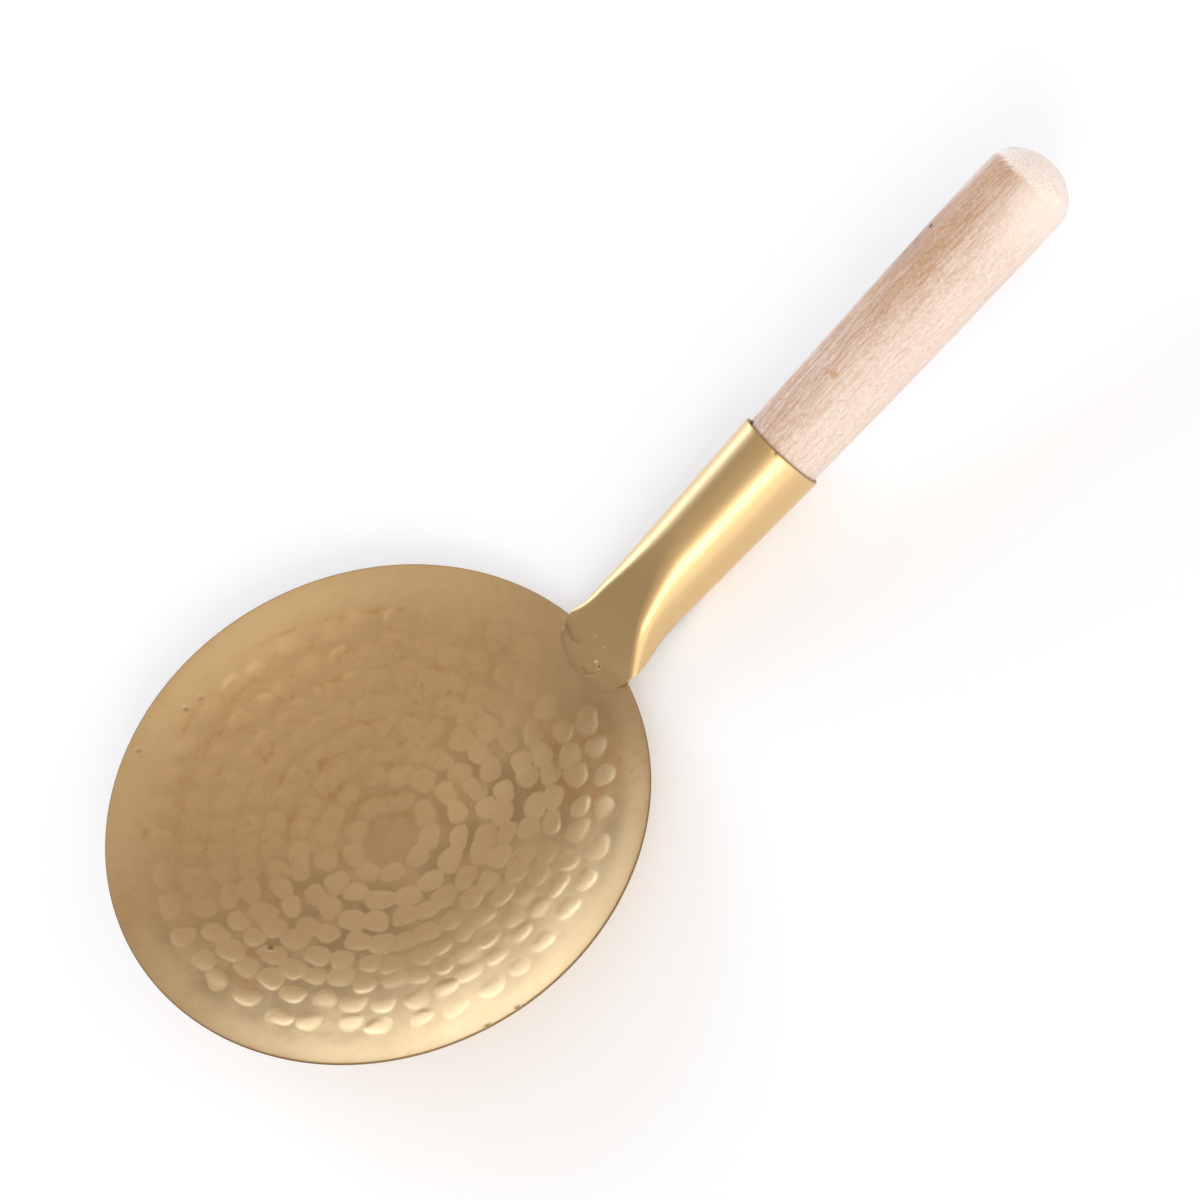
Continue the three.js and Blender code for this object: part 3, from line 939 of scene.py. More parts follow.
    def worked(self, radius: float, angle: Array) -> tuple[Array, dict[Tag, Array]]:
        """Find the hammering, the pits and the wear on a ring of the inside.

        Args:
            radius: The ring's radius.
            angle: The angles of the ring's points.

        Returns:
            The depths and the tags.
        """
        x, y = radius * np.cos(angle), radius * np.sin(angle)
        pressed, tone = np.zeros((2, len(angle)))
        inside = np.full_like(x, -1.0)
        for mark in self.marks:
            if abs(math.hypot(mark.x, mark.y) - radius) < 2.0 * self.mark_long:
                within, depth = mark.measure(x, y, self.mark_edge)
                pressed = np.maximum(pressed, depth)
                tone = np.where(within > inside, mark.tone, tone)
                inside = np.maximum(inside, within)
        bite, soil = bitten(self.spots, x, y)
        polished = self.polish_run(self.radius - radius) * self.polish_side(y)
        smear = self.brown_reach(radius) * self.brown_side(y)
        for mark in self.smears:
            smear = np.maximum(smear, mark.cover(radius, angle))
        # painted reflection: dark brown laid on the smear tag beside the tongue, in place of a dark
        # reflection
        dark_reflected = self.dark_reflection(distance_to(x, y, self.dark_reflection_spot)) * self.dark_reflection_edge(inside)
        lit = self.lit_turn(-y / radius) * self.lit_reach(radius)
        worn = self.worn_side(y) * (1.0 - self.lit_share * lit) * self.middle(radius)
        worn = worn * self.calm(distance_to(x, y, self.calm_spot)) * self.band(self.radius - radius)
        struck = np.clip(0.5 + 0.5 * inside, 0.0, 1.0)
        tags = {
            Tag.STRUCK: np.maximum(struck, self.polish_edge(polished)),
            Tag.TONE: np.maximum(tone, polished),
            Tag.WORN: np.maximum(worn, self.polish_worn * polished),
            Tag.SMEAR: np.maximum(smear, dark_reflected),
            Tag.SOIL: soil,
        }
        return pressed + bite, tags

    def wave(self, x: Array, y: Array) -> Array:
        """Slight unevenness of a dish that is raised by hand, fading out at the rim.

        Args:
            x: The points' X.
            y: The points' Y.

        Returns:
            The heights.
        """
        fade = smooth_step(self.radius, self.radius - self.wave_fade, np.hypot(x, y))
        swell = np.sin(x / self.long_wave[0] + self.long_phase[0])
        swell = swell * np.cos(y / self.long_wave[1] + self.long_phase[1])
        ripple = np.sin(x / self.short_wave[0] - y / self.short_wave[1])
        return self.wave_height * fade * (swell + self.short_share * ripple)

    def build(self, place: Matrix) -> Object:
        """Make the dish.

        Args:
            place: The dish frame in the row frame.

        Returns:
            The piece.
        """
        self.strike()
        skin = Skin()
        corner = self.radius - self.rim_round
        radii = np.append(np.arange(self.cell, corner - self.cell / 2, self.cell), corner)
        rings = [self._ring(skin, radius, upper=True) for radius in radii]
        edge = float(self.height(corner))
        quarter = self.rim_steps
        upper = (edge - self.rim_round, range(1, quarter + 1))
        lower = (edge - self.drop(corner) + self.rim_round, range(quarter, 2 * quarter))
        around = circle(self._count(self.radius))
        for lift, turns in (upper, lower):
            for k in turns:
                angle = k * QUARTER_TURN / quarter
                out = corner + self.rim_round * math.sin(angle)
                level = np.full_like(around, lift + self.rim_round * math.cos(angle))
                points = np.column_stack([out * np.cos(around), out * np.sin(around), level])
                # the rim's rounded edge is painted darker all round
                rings.append(skin.add(points, {Tag.SOIL: self.rim_darkening}))
        rings += [self._ring(skin, radius, upper=False) for radius in radii[::-1]]
        middle = np.array([0.0, 0.0, float(self.height(0.0))])
        skin.fan(skin.add(middle)[0], rings[0])
        skin.wall(rings)
        skin.fan(skin.add(middle - np.array([0.0, 0.0, self.sheet]))[0], rings[-1], flip=True)
        return skin.piece(Part.DISH, place, self.finish.material())

    def _count(self, radius: float) -> int:
        """Points in a ring: doubled outwards, so that the cells stay alike.

        Args:
            radius: The ring's radius.

        Returns:
            The count.
        """
        count = self.first_count
        while count * self.cell * self.cell_stretch < FULL_TURN * radius:
            count *= 2
        return count

    def _ring(self, skin: Skin, radius: float, upper: bool) -> list[int]:
        """Add a ring of the hammered sheet.

        Args:
            skin: The mesh that it goes to.
            radius: The ring's radius.
            upper: True on the inside of the dish, False underneath.

        Returns:
            The numbers of the ring's points.
        """
        angle = circle(self._count(radius))
        x, y = radius * np.cos(angle), radius * np.sin(angle)
        pressed, tags = self.worked(radius, angle)
        z = self.height(radius) + self.wave(x, y)
        if upper:
            return skin.add(np.column_stack([x, y, z - pressed]), tags)
        return skin.add(np.column_stack([x, y, z - self.show_through * pressed - self.drop(radius)]))


@dataclass
class Socket:
    """The socket: one sheet with a flat tongue on the dish, rolled round the handle's axis."""

    finish: BrassFinish
    dish: Dish
    rise: float = math.radians(19.5)
    axis_drop: float = 2.4
    tongue_width: float = 24.0
    overlap: float = 7.0
    shift: float = 2.2
    shift_length: float = 13.0
    length: float = 62.4
    mouth_diameter: float = 22.1
    neck_diameter: float = 18.2
    sheet: float = 0.9
    flat_length: float = 36.0
    flat_ease: float = 2.3
    flare_length: float = 21.0
    flare_ease: float = 3.0
    fold_inner: float = 1.1
    fold_growth: float = 30.0
    fold_round: float = 0.8
    seam_start: float = 32.0
    seam_ease: float = 1.35
    seam_gap: float = 0.8
    seat_gap: float = 0.3
    seat: float = 0.05
    seat_rounds: int = 8
    feather: float = 0.05
    feather_under: float = 0.4
    feather_power: float = 0.7
    feather_run: float = 0.6
    dip_slope: float = 0.205
    dip_least: float = 1e-6
    edge_soil: float = 0.5
    edge_round: float = 0.28
    edge_turns: tuple[float, ...] = (30.0, 60.0, 90.0)
    # painted shade on the lip of the mouth, where the gap to the handle lies
    mouth_shade: float = 0.6
    stations: int = 110
    station_power: float = 1.2
    tongue_stations: int = 30
    tongue_start: float = 0.06
    columns: int = 144
    spots: Flaws = ()

    def __post_init__(self) -> None:
        """Work out the sizes that follow from the others."""
        half = self.tongue_width / 2
        fall_back = self.dish.radius - math.sqrt(self.dish.radius**2 - (half + self.shift) ** 2)
        over_axis = self.axis_drop * math.cos(self.rise) + fall_back * math.sin(self.rise)
        self.tongue_top = over_axis + self.seat_gap + self.sheet
        self.first_fold = self.fold_inner + self.sheet
        self.flared = math.hypot(half, self.tongue_top - self.first_fold) + self.first_fold
        self.flare = self.flared - self.neck_diameter / 2

    def place(self, dish_place: Matrix) -> Matrix:
        """The shaft frame in the row frame, from the dish frame's place."""
        moved = Matrix.Translation(Vector((self.dish.radius, 0.0, -self.axis_drop)) * MM)
        return dish_place @ moved @ Matrix.Rotation(-self.rise, 4, "Y")

    def outer(self, along: float) -> float:
        """Outer radius of the roll, a cone that flares where it opens into the tongue."""
        cone = (self.neck_diameter + (self.mouth_diameter - self.neck_diameter) * along / self.length) / 2
        return cone + self.flare * max(0.0, 1.0 - along / self.flare_length) ** self.flare_ease

    def flat_height(self, along: float) -> float:
        """Height of the flat top over the axis."""
        left = max(0.0, 1.0 - along / self.flat_length) ** self.flat_ease
        return self.outer(along) - (self.flared - self.tongue_top) * left

    def fold(self, along: float) -> float:
        """Radius of the fold beside the flat top: tight at the tongue, growing to most of the round."""
        grown = float(smooth_step(0.0, self.fold_growth, along))
        return self.first_fold + (self.fold_round * self.outer(along) - self.first_fold) * grown

    def half_blank(self, along: float) -> float:
        """Half the sheet's width before rolling.

        Args:
            along: The place along the axis.

        Returns:
            The half width.
        """
        closed = math.pi * self.outer(along) - self.seam_gap / 2
        opening = max(0.0, 1.0 - (along / self.seam_start) ** self.seam_ease)
        return closed + (self.tongue_width / 2 - closed) * opening

    def sideways(self, along: Array | float) -> Array:
        """How far the tongue sits to one side; the roll eases back onto the axis."""
        return -self.shift * smooth_step(self.shift_length, 0.0, along)

    def over_axis(self, along: Array, across: Array) -> Array:
        """Height over the axis of the dish's inside.

        Args:
            along: Places along the axis.
            across: Places across it.

        Returns:
            The heights, square to the axis.
        """
        sin, cos = math.sin(self.rise), math.cos(self.rise)
        over = np.full(np.broadcast(along, across).shape, self.axis_drop * cos)
        for _ in range(self.seat_rounds):
            x = self.dish.radius + along * cos - over * sin
            z = -self.axis_drop + along * sin + over * cos
            inside = self.dish.seat(np.hypot(x, across)) + self.dish.wave(x, across)
            over = over + (inside - z) / cos
        return over

    def tongue_half(self, along: float) -> float:
        """Half the tongue's width inside the rim, where its end is half an ellipse."""
        return self.tongue_width / 2 * math.sqrt(max(0.0, 1.0 - (along / self.overlap) ** 2))

    def tongue(self, along: Array, across: Array) -> tuple[Array, Array]:
        """Top and underside of the tongue, which is filed thin to its edge.

        Args:
            along: Places along the axis, inside the rim.
            across: Places across it.

        Returns:
            The heights of the top and of the underside over the axis.
        """
        filed = smooth_step(0.0, -self.feather_run * self.overlap, along)
        aside = (across - self.sideways(along)) / (self.tongue_width / 2) * filed
        reach = np.clip(1.0 - np.hypot(along / self.overlap, aside), 0.0, 1.0)
        dish = self.over_axis(along, across)
        grown = (self.sheet + self.seat - self.feather) * reach**self.feather_power
        top = dish + self.feather + grown
        return top, np.maximum(top - self.sheet, dish + self.feather_under * self.feather)

    def section(self, along: float, distance: Array, depth: float) -> tuple[Array, Array]:
        """Points of the rolled section.

        Args:
            along: The section's place along the axis.
            distance: Distances along the sheet from its middle.
            depth: How deep in the sheet.

        Returns:
            Places across the axis and over it.
        """
        fold = self.fold(along)
        radius = self.outer(along) - fold
        height = self.flat_height(along) - fold
        half_flat = math.sqrt(max(0.0, radius**2 - height**2))
        fold_angle = math.acos(min(1.0, height / radius))
        past_flat = np.maximum(0.0, distance - half_flat)
        past_fold = np.maximum(0.0, past_flat - fold * fold_angle)
        angle = np.minimum(past_flat / fold, fold_angle) + past_fold / (radius + fold)
        rolled = past_fold > 0.0
        across = np.where(rolled, radius * np.sin(angle), np.minimum(distance, half_flat))
        over = np.where(rolled, radius * np.cos(angle), height)
        skin = fold - depth
        return across + skin * np.sin(angle), over + skin * np.cos(angle)

    def row(self, along: float, depth: float) -> Array:
        """One row of points across the sheet.

        Args:
            along: Its place along the axis.
            depth: How deep in the sheet.

        Returns:
            The points, from one edge to the other.
        """
        side = np.linspace(-1.0, 1.0, self.columns + 1)
        place = np.full_like(side, along)
        if along < 0.0:
            across = side * self.tongue_half(along) + self.sideways(along)
            top, under = self.tongue(place, across)
            return np.column_stack([place, across, under if depth else top])
        out, over = self.section(along, np.abs(side) * self.half_blank(along), depth)
        across = out * np.sign(side) + self.sideways(along)
        clear = self.tongue_top - self.over_axis(0.0 * across, across) - self.sheet - self.seat
        low = np.maximum(self.dip_least, clear)
        low = low * np.maximum(0.0, 1.0 - along * self.dip_slope / (2.0 * low)) ** 2
        return np.column_stack([place, across, over - low])

    def build(self, place: Matrix) -> Object:
        """Make the socket.

        Args:
            place: The shaft frame in the row frame.

        Returns:
            The piece.
        """
        skin = Skin()
        turn = np.linspace(self.tongue_start, QUARTER_TURN, self.tongue_stations, endpoint=False)
        rolled = np.linspace(0.0, 1.0, self.stations) ** self.station_power * (self.length - self.edge_round)
        walk = [(along, 0.0) for along in (*(-self.overlap * np.cos(turn)), *rolled)]
        for angle in np.radians(self.edge_turns):
            along = self.length - self.edge_round * (1.0 - math.sin(angle))
            walk.append((along, self.edge_round * (1.0 - math.cos(angle))))
        loops: list[list[int]] = []
        side = self.columns + 1
        for along, inset in walk:
            top = self.row(along, inset)
            under = self.row(along, self.sheet - inset)
            upward = top[:, 2] > 0.0
            depth, soil = bitten(self.spots, top[:, 0], top[:, 1])
            top[:, 2] -= depth * upward
            # painted shade: the mouth's rounded lip is darkened outside and in, where it meets the handle
            worn = self.mouth_shade if inset else 0.0
            dark = np.concatenate([np.maximum(soil * upward, worn), np.full(side, worn)])
            if along < 0.0:
                dark[[0, side - 1, side, -1]] = self.edge_soil
            loops.append(skin.add(np.vstack([top, under[::-1]]), {Tag.SOIL: dark}))
        skin.wall(loops)
        skin.strip(loops[0][side:][::-1], loops[0][:side], closed=False)
        skin.strip(loops[-1][:side], loops[-1][side:][::-1], closed=False)
        return skin.piece(Part.SOCKET, place, self.finish.material())


@dataclass
class Braze:
    """The filler along the tongue's end, wiped thin over the tongue's edge and out onto the dish."""

    finish: BrassFinish
    socket: Socket
    width: float = 1.8
    lap: float = 0.8
    film: float = 0.03
    film_full: float = 0.3
    buried: float = 0.02
    rim_margin: float = 0.25
    run_out: float = 0.6
    end_width: float = 0.5
    end_power: int = 8
    wander: float = 0.12
    waves: tuple[tuple[int, float], ...] = ((5, 1.0), (11, 0.5))
    steps: int = 160
    lap_steps: int = 6
    width_steps: int = 12
    seed: int = 5
    spots: Flaws = ()

    def section(self, turn: float, reach: float) -> tuple[Array, Array]:
        """Find a section of the filler, square to the tongue's edge.

        Args:
            turn: Where on the tongue's end it is, 0 at the tip.
            reach: How far it runs out onto the dish.

        Returns:
            The points of its top and of its underside.
        """
        socket = self.socket
        half = socket.tongue_width / 2
        edge = np.array([-socket.overlap * math.cos(turn), half * math.sin(turn) - socket.shift])
        out = np.array([-half * math.cos(turn), socket.overlap * math.sin(turn)])
        out /= np.linalg.norm(out)
        lapped = np.linspace(-self.lap, 0.0, self.lap_steps + 1)
        distance = np.concatenate([lapped, np.linspace(0.0, reach, self.width_steps + 1)[1:]])
        spots = edge[None, :] + distance[:, None] * out[None, :]
        dish = socket.over_axis(spots[:, 0], spots[:, 1])
        tongue = socket.tongue(spots[:, 0], spots[:, 1])[0]
        step = socket.tongue(edge[:1], edge[1:])[0] - socket.over_axis(edge[:1], edge[1:])
        step = step * smooth_step(QUARTER_TURN - self.rim_margin, QUARTER_TURN - self.run_out, abs(turn))
        on_tongue = distance < 0.0
        lip = np.minimum(tongue, dish + step)
        base = np.where(on_tongue, lip, dish + step * smooth_step(reach, 0.0, distance))
        film = (self.film + self.buried) * smooth_step(-self.lap, -self.film_full * self.lap, distance)
        top = base + film * smooth_step(reach, self.film_full * reach, distance) - self.buried
        top = top - bitten(self.spots, spots[:, 0], spots[:, 1])[0]
        under = np.minimum(np.where(on_tongue, lip, dish) - 2.0 * self.buried, top - self.buried)
        return np.column_stack([spots, top]), np.column_stack([spots, under])

    def build(self, place: Matrix) -> Object:
        """Make the filler.

        Args:
            place: The shaft frame in the row frame.

        Returns:
            The piece.
        """
        rng = random.Random(self.seed)
        phases = [rng.uniform(0.0, FULL_TURN) for _ in self.waves]
        skin = Skin()
        loops: list[list[int]] = []
        last = QUARTER_TURN - self.rim_margin
        for turn in np.linspace(-last, last, self.steps + 1):
            waves = zip(self.waves, phases)
            sway = sum(high * math.sin(count * turn + phase) for (count, high), phase in waves)
            narrowed = 1.0 - self.end_width * math.sin(turn) ** self.end_power
            upper, lower = self.section(turn, self.width * (1.0 + self.wander * sway) * narrowed)
            soil = bitten(self.spots, upper[:, 0], upper[:, 1])[1]
            tags = {Tag.SOIL: np.concatenate([soil, np.zeros(len(lower))])}
            loops.append(skin.add(np.vstack([upper, lower[::-1]]), tags))
        skin.wall(loops)
        skin.faces.append(tuple(loops[0]))
        skin.faces.append(tuple(loops[-1][::-1]))
        return skin.piece(Part.BRAZE, place, self.finish.material())


@dataclass
class Handle:
    """The turned beech handle: a tenon in the socket, a grip that swells a little and a domed butt."""

    finish: BeechFinish
    socket: Socket
    grip_length: float = 84.0
    butt_diameter: float = 22.3
    cap_height: float = 6.8
    edge_round: float = 2.6
    edge_steps: int = 12
    snug: float = 0.22
    tip_chamfer: float = 1.2
    sides: int = 144
    grip_steps: int = 120
    cap_steps: int = 28

    def tenon(self, along: float) -> float:
        """Radius of the tenon, just inside the socket."""
        return self.socket.outer(along) - self.socket.sheet - self.socket.seat_gap

    def profile(self) -> list[Range]:
        """Find the handle's outline, from the tenon's tip to the butt.

        Returns:
            Pairs of radius and place along the axis.
        """
        mouth = self.socket.length
        tip = self.socket.flat_length + self.socket.seat_gap
        wide_tip = self.tenon(tip)
        line = [(0.0, tip), (wide_tip - self.tip_chamfer, tip), (wide_tip, tip + self.tip_chamfer)]
        butt = self.butt_diameter / 2
        crease = mouth + self.grip_length
        neck = self.tenon(mouth) + self.snug
        for share in np.linspace(0.0, 1.0, self.grip_steps + 1):
            swell = 1.0 - (1.0 - share) ** 2
            line.append((neck + (butt - neck) * swell, mouth + (self.grip_length - self.edge_round) * share))
        cap = (butt**2 + self.cap_height**2) / (2 * self.cap_height)
        middle = crease + self.cap_height - cap
        wide = math.atan2(butt, crease - middle) - self.edge_round / cap
        lip = (cap * math.sin(wide), middle + cap * math.cos(wide))
        for share in np.linspace(0.0, 1.0, self.edge_steps + 1)[1:-1]:
            ease = share * share
            level = crease + (lip[1] - crease) * ease - self.edge_round * (1.0 - share) ** 2
            line.append((butt + (lip[0] - butt) * ease, level))
        for share in np.linspace(1.0, 0.0, self.cap_steps + 1):
            angle = wide * share
            line.append((cap * math.sin(angle) if share else 0.0, middle + cap * math.cos(angle)))
        return line

    def build(self, place: Matrix) -> Object:
        """Make the handle, in the shaft frame's place."""
        skin = turned(self.profile(), self.sides, upright=False)
        return skin.piece(Part.HANDLE, place, self.finish.material(place))


@dataclass
class Nail:
    """The nail that holds the handle, driven up through the socket's seam."""

    finish: BrassFinish
    socket: Socket
    diameter: float = 1.8
    length: float = 10.0
    point: float = 2.0
    head_diameter: float = 4.2
    head_height: float = 0.9
    sides: int = 48
    head_steps: int = 10

    def build(self, place: Matrix) -> Object:
        """Make the nail.

        Args:
            place: The shaft frame in the row frame.

        Returns:
            The piece.
        """
        along = (self.socket.flat_length + self.socket.seat_gap + self.socket.length) / 2
        seat = -(self.socket.outer(along) + self.socket.seat_gap)
        line = []
        for angle in np.linspace(0.0, 1.0, self.head_steps + 1) * QUARTER_TURN:
            radius = self.head_diameter / 2 * math.sin(angle)
            line.append((radius, seat - self.head_height * math.cos(angle)))
        shank = self.diameter / 2
        line += [(shank, seat), (shank, seat + self.length - self.point), (0.0, seat + self.length)]
        spot = place @ Matrix.Translation(Vector((along, 0.0, 0.0)) * MM)
        return turned(line, self.sides, upright=True).piece(Part.NAIL, spot, self.finish.material())


@dataclass(frozen=True)
class Lamp:
    """A soft lamp that points at the scoop, hung in a direction from it."""

    DISTANCE: ClassVar[float] = 1.3
    name: str
    toward: Point
    size: float
    power: float
    tint: Colour = (1.0, 1.0, 1.0)
    glossy: bool = True

    def hang(self) -> None:
        """Put the lamp in its place."""
        data = bpy.data.lights.new(self.name, "AREA")
        data.size = self.size
        data.energy = self.power
        data.color = self.tint
        lamp = linked(self.name, data)
        lamp.visible_glossy = self.glossy
        place = Vector(self.toward).normalized()
        lamp.location = place * self.DISTANCE
        lamp.rotation_mode = "QUATERNION"
        lamp.rotation_quaternion = (-place).to_track_quat("-Z", "Y")


@dataclass
class Studio:
    """A pale floor under a soft studio dome, two soft lamps and the camera."""

    floor_white: Colour = (0.85, 0.88, 0.93)
    floor_lift: float = 0.22
    floor_size: float = 8.0
    floor_crease: float = 30.0
    far_high: Colour = (0.5, 0.45, 0.4)
    zenith: Colour = (0.58, 0.53, 0.47)
    zenith_edge: Range = (0.68, 0.88)
    far_dim: Colour = (0.36, 0.33, 0.29)
    dim_left: Range = (0.0, -0.45)
    dim_below: Range = (0.84, 0.68)
    near_high: Colour = (0.62, 0.565, 0.495)
    near_edge: Range = (0.45, -0.25)
    near_wall: Colour = (1.48, 1.41, 1.33)
    near_wall_edge: Range = (-0.15, -0.7)
    far_wall: Colour = (2.7, 3.15, 3.75)
    far_side: Range = (-0.36, 0.18)
    far_top: Range = (0.42, 0.09)
    far_edge: Range = (-0.1, 0.25)
    far_tilt: float = 0.15
    far_left_from: float = 0.22
    far_left_tilt: float = 2.2
    far_end: float = 0.78
    far_slant: float = 0.9
    lamps: tuple[Lamp, ...] = (
        Lamp("soft_lamp", (-0.3, -0.7, 0.65), 0.4, 1.75),
        Lamp("fill_lamp", (-0.25, 0.85, 0.35), 0.8, 5.4, (0.84, 0.97, 1.22), glossy=False),
    )
    eye: Point = (0.006788, -0.653723, 1.107256)
    aim: Point = (-0.004831, 0.006175, 0.01)
    roll: float = -43.154
    lens: float = 165.0
    sensor: float = 36.0
    clip: Range = (0.01, 50.0)

    def build(self) -> None:
        """Set up the floor, the light and the camera."""
        self._floor()
        self._dome()
        for lamp in self.lamps:
            lamp.hang()
        self._camera()
        bpy.context.scene.view_settings.view_transform = "Standard"

    def _floor(self) -> None:
        """Lay the floor, which shows white and keeps the shadow."""
        skin = Skin()
        half = self.floor_size / 2 / MM
        corners = np.array([[-half, -half, 0.0], [half, -half, 0.0], [half, half, 0.0], [-half, half, 0.0]])
        skin.faces.append(tuple(skin.add(corners)))
        floor = skin.build("floor", Matrix.Identity(4), self.floor_crease)
        made, sheet = new_material("pale_floor")
        matt = sheet.add("ShaderNodeBsdfDiffuse", Color=self.floor_white)[0]
        ray = sheet.add("ShaderNodeLightPath")
        seen = ray["Is Camera Ray"].at_least(ray["Is Glossy Ray"]).at_least(ray["Is Transmission Ray"])
        glow = sheet.add("ShaderNodeEmission", Strength=seen * self.floor_lift)[0]
        both = sheet.add("ShaderNodeAddShader", n0=matt, n1=glow)[0]
        sheet.add("ShaderNodeOutputMaterial", Surface=both)
        floor.data.materials.append(made)

    def _dome(self) -> None:
        """Light the scene from all round: pale walls, dimmer overhead and brightest low on the far side."""
        world = bpy.data.worlds.new("studio_dome")
        bpy.context.scene.world = world
        world.use_nodes = True
        sheet = NodeSheet(world.node_tree)
        axis = sheet.add("ShaderNodeSeparateXYZ", Vector=sheet.add("ShaderNodeTexCoord")["Generated"])
        x, y, z = axis[0], axis[1], axis[2]
        right = x.at_least(0.0) * self.far_tilt
        left = (x + self.far_left_from).at_most(0.0) * self.far_left_tilt
        sideways = x + y * self.far_end - z * self.far_slant
        far = sideways.ease(self.far_side) * (z + (right + left)).ease(self.far_top) * y.ease(self.far_edge)
        tone = sheet.mix(z.ease(self.zenith_edge), self.far_high, self.zenith)
        tone = sheet.mix(x.ease(self.dim_left) * z.ease(self.dim_below), tone, self.far_dim)
        tone = sheet.mix(y.ease(self.near_edge), tone, self.near_high)
        tone = sheet.mix(y.ease(self.near_wall_edge), tone, self.near_wall)
        tone = sheet.mix(far, tone, self.far_wall)
        back = sheet.add("ShaderNodeBackground", Color=tone, Strength=1.0)[0]
        sheet.add("ShaderNodeOutputWorld", Surface=back)

    def _camera(self) -> None:
        """Set the camera where the photograph was taken from."""
        data = bpy.data.cameras.new("camera")
        data.lens = self.lens
        data.sensor_width = self.sensor
        data.clip_start, data.clip_end = self.clip
        camera = linked("camera", data)
        forward = (Vector(self.aim) - Vector(self.eye)).normalized()
        level = forward.cross(Vector((0.0, 0.0, 1.0))).normalized()
        above = level.cross(forward)
        roll = math.radians(self.roll)
        right = level * math.cos(roll) + above * math.sin(roll)
        turn = Matrix((right, right.cross(forward), -forward)).transposed()
        camera.matrix_world = Matrix.Translation(Vector(self.eye)) @ turn.to_4x4()
        bpy.context.scene.camera = camera


DISH_BRASS = BrassFinish(
    name="dish_satin_brass",
    clean=(0.72, 0.505, 0.27),
    dull=(0.5, 0.35, 0.19),
    burnished=(0.83, 0.6, 0.33),
    stain=(0.6, 0.35, 0.15),
    soil=(0.17, 0.1, 0.045),
    stain_share=0.36,
    speck_share=0.6,
    satin=0.24,
    satin_spread=0.1,
    grain_height=0.003,
)
SOCKET_BRASS = BrassFinish(
    name="socket_satin_brass",
    clean=(0.77, 0.55, 0.28),
    dull=(0.7, 0.49, 0.25),
    burnished=(0.77, 0.55, 0.28),
    stain=(0.66, 0.44, 0.2),
    soil=(0.2, 0.12, 0.05),
    stain_share=0.22,
    speck_share=0.25,
    satin=0.28,
    satin_spread=0.08,
    grain_height=0.008,
)
# the filler's own dull brass, darkened further as painted shade so the brighter reflection off its slope
# blends into the dish
BRAZE_BRASS = BrassFinish(
    name="braze_dull_shaded_brass",
    clean=(0.62, 0.44, 0.235),
    dull=(0.55, 0.39, 0.21),
    burnished=(0.62, 0.44, 0.235),
    stain=(0.56, 0.36, 0.17),
    soil=(0.2, 0.12, 0.05),
    stain_share=0.4,
    speck_share=0.7,
    satin=0.29,
    satin_spread=0.12,
    grain_height=0.01,
)
NAIL_BRASS = BrassFinish(
    name="nail_brass",
    clean=(0.74, 0.52, 0.25),
    dull=(0.6, 0.42, 0.2),
    burnished=(0.74, 0.52, 0.25),
    stain=(0.55, 0.34, 0.15),
    soil=(0.18, 0.11, 0.05),
    stain_share=0.5,
    speck_share=0.6,
    satin=0.27,
    satin_spread=0.12,
    grain_height=0.012,
)
BEECH = BeechFinish(
    name="sanded_beech",
    pale=(0.87, 0.745, 0.672),
    tan=(0.541, 0.288, 0.141),
    fleck=(0.5, 0.32, 0.225),
    end_grain=(0.97, 0.86, 0.795),
    pore=(0.7, 0.52, 0.45),
    mouth_shade=(0.3, 0.18, 0.09),
    flaws=(
        WoodStainAndShade((84.4, -2.4, 10.5), 1.5, (0.62, 0.34, 0.17), 0.75),
        # a broad brown patch along the far side of the grip, beside the dark dot
        WoodStainAndShade((120.0, 8.0, 7.5), 9.5, (0.5, 0.32, 0.23), 0.85, drawn=0.45, core=0.0),
        WoodStainAndShade((124.0, 6.7, 8.8), 1.1, (0.08, 0.05, 0.035), 0.95),
        # painted shade: a dark streak in the gap at the far corner of the socket's mouth
        WoodStainAndShade((62.6, 6.6, 7.6), 2.4, (0.05, 0.035, 0.03), 0.95, drawn=3.0),
        WoodStainAndShade((119.1, 7.0, 8.5), 1.5, (0.46, 0.27, 0.17), 0.65),
        WoodStainAndShade((115.8, 7.3, 8.2), 1.1, (0.45, 0.27, 0.17), 0.6),
        # painted shade: a dark line along the far upper edge of the butt
        WoodStainAndShade((149.6, 8.0, 3.6), 3.6, (0.22, 0.14, 0.1), 0.9),
    ),
)
DISH_SPOTS = (
    Spot(-38.4, -6.9, 1.1, 0.3, 1.0),
    Spot(-19.0, 55.0, 0.7, 0.15, 0.7),
    Spot(-14.6, 55.3, 0.6, 0.15, 0.7),
    Spot(-34.0, 52.3, 0.7, 0.15, 0.6),
    Spot(-12.3, -63.6, 0.9, 0.2, 0.8),
    Spot(-4.5, -64.4, 0.8, 0.2, 0.8),
)
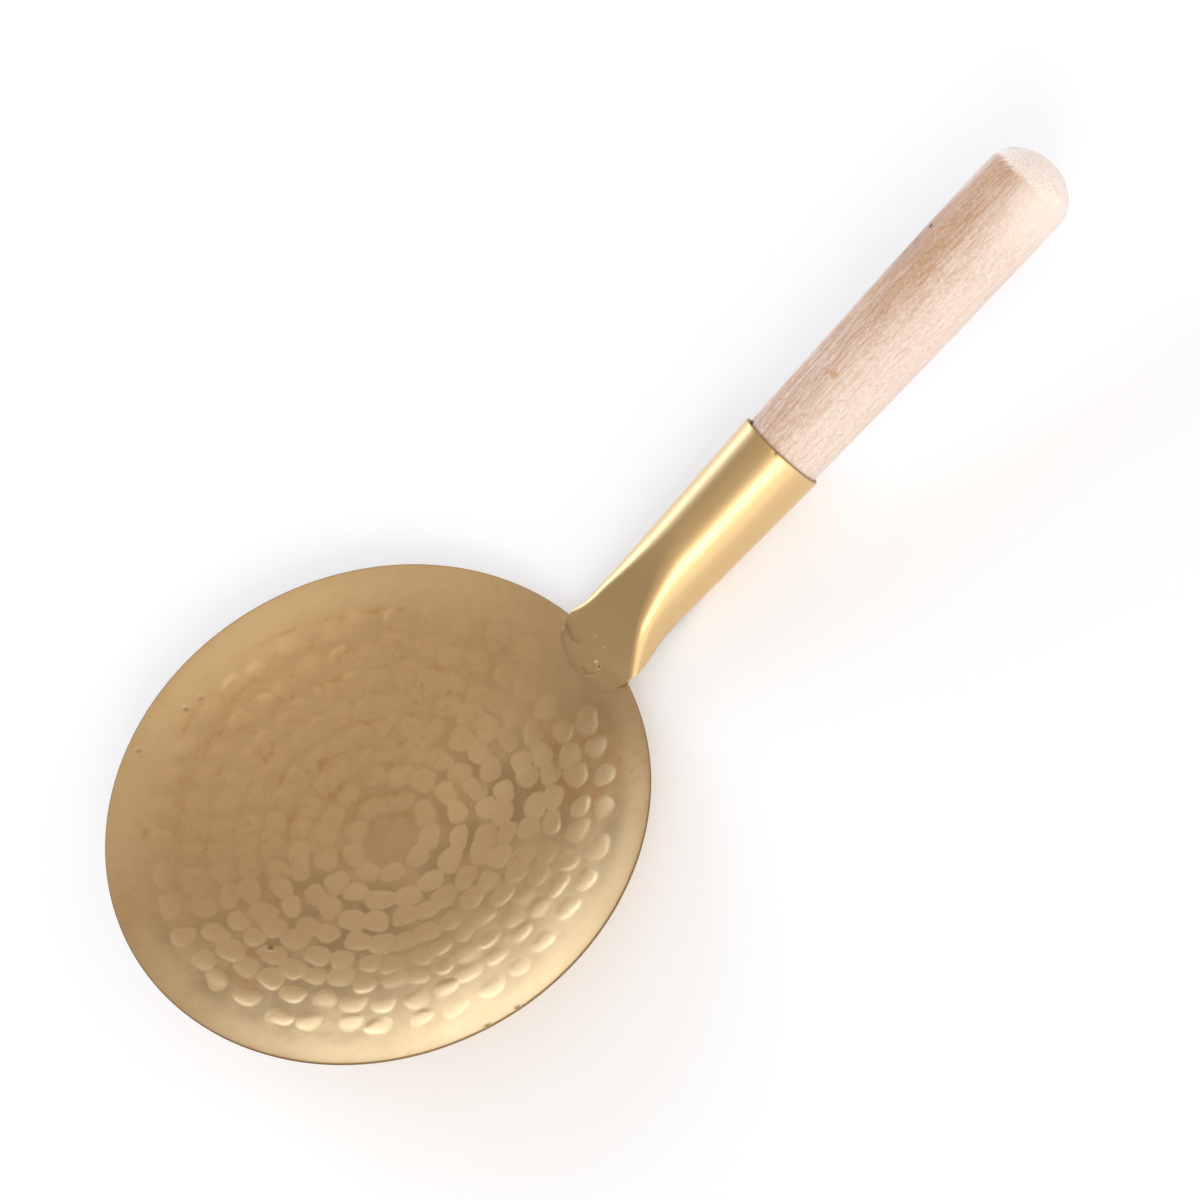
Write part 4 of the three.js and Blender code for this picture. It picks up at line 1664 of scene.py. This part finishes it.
TONGUE_SPOTS = (
    Spot(-2.87, -4.1, 0.6, -0.2, 0.0),
    Spot(-3.25, -5.2, 0.6, 0.3, 1.0),
    Spot(1.3, 1.1, 0.5, 0.2, 0.8),
    Spot(1.1, -2.75, 0.45, 0.15, 0.6),
    Groove((-1.6, 10.4), (-2.9, 7.3), 0.8, 0.06, 0.4),
    Groove((-2.9, 7.3), (-3.6, 4.8), 0.9, 0.06, 0.4),
    Groove((-3.6, 4.8), (-2.8, 3.2), 0.7, 0.05, 0.35),
    Groove((-6.3, -2.0), (-6.5, -3.9), 0.7, 0.05, 0.45),
    Groove((-6.5, -3.9), (-5.2, -5.3), 0.6, 0.05, 0.35),
    Spot(45.0, 5.25, 0.4, 0.05, 0.6),
    Spot(62.0, -4.95, 0.6, 0.2, 0.9),
)


def dish_place(record: dict, dish: Dish) -> Matrix:
    """Find the dish frame from the flat under the dish.

    Args:
        record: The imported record.
        dish: The dish's sizes.

    Returns:
        The dish frame in the row frame.
    """
    mount = record["mounts"][0]
    up = -Vector(mount["axis"]).normalized()
    across = Vector((0.0, 1.0, 0.0))
    turn = Matrix((across.cross(up), across, up)).transposed()
    middle = Vector(mount["pos_m"]) + up * (dish.depth + dish.sheet) * MM
    return Matrix.Translation(middle) @ turn.to_4x4()


def main() -> None:
    """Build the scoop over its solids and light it."""
    logging.basicConfig(level=logging.INFO, format="%(name)s: %(message)s")
    bpy.ops.wm.read_factory_settings(use_empty=True)
    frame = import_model()
    dish = Dish(DISH_BRASS, spots=DISH_SPOTS)
    socket = Socket(SOCKET_BRASS, dish, spots=TONGUE_SPOTS)
    rim = dish_place(frame["record"], dish)
    shaft = socket.place(rim)
    pieces = [
        dish.build(rim),
        socket.build(shaft),
        Braze(BRAZE_BRASS, socket, spots=TONGUE_SPOTS).build(shaft),
        Handle(BEECH, socket).build(shaft),
        Nail(NAIL_BRASS, socket).build(shaft),
    ]
    for piece in pieces:
        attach(piece, BODY)
        LOG.info("%s: %d points, %d faces", piece.name, len(piece.data.vertices), len(piece.data.polygons))
    Studio().build()


if __name__ == "__main__":
    main()
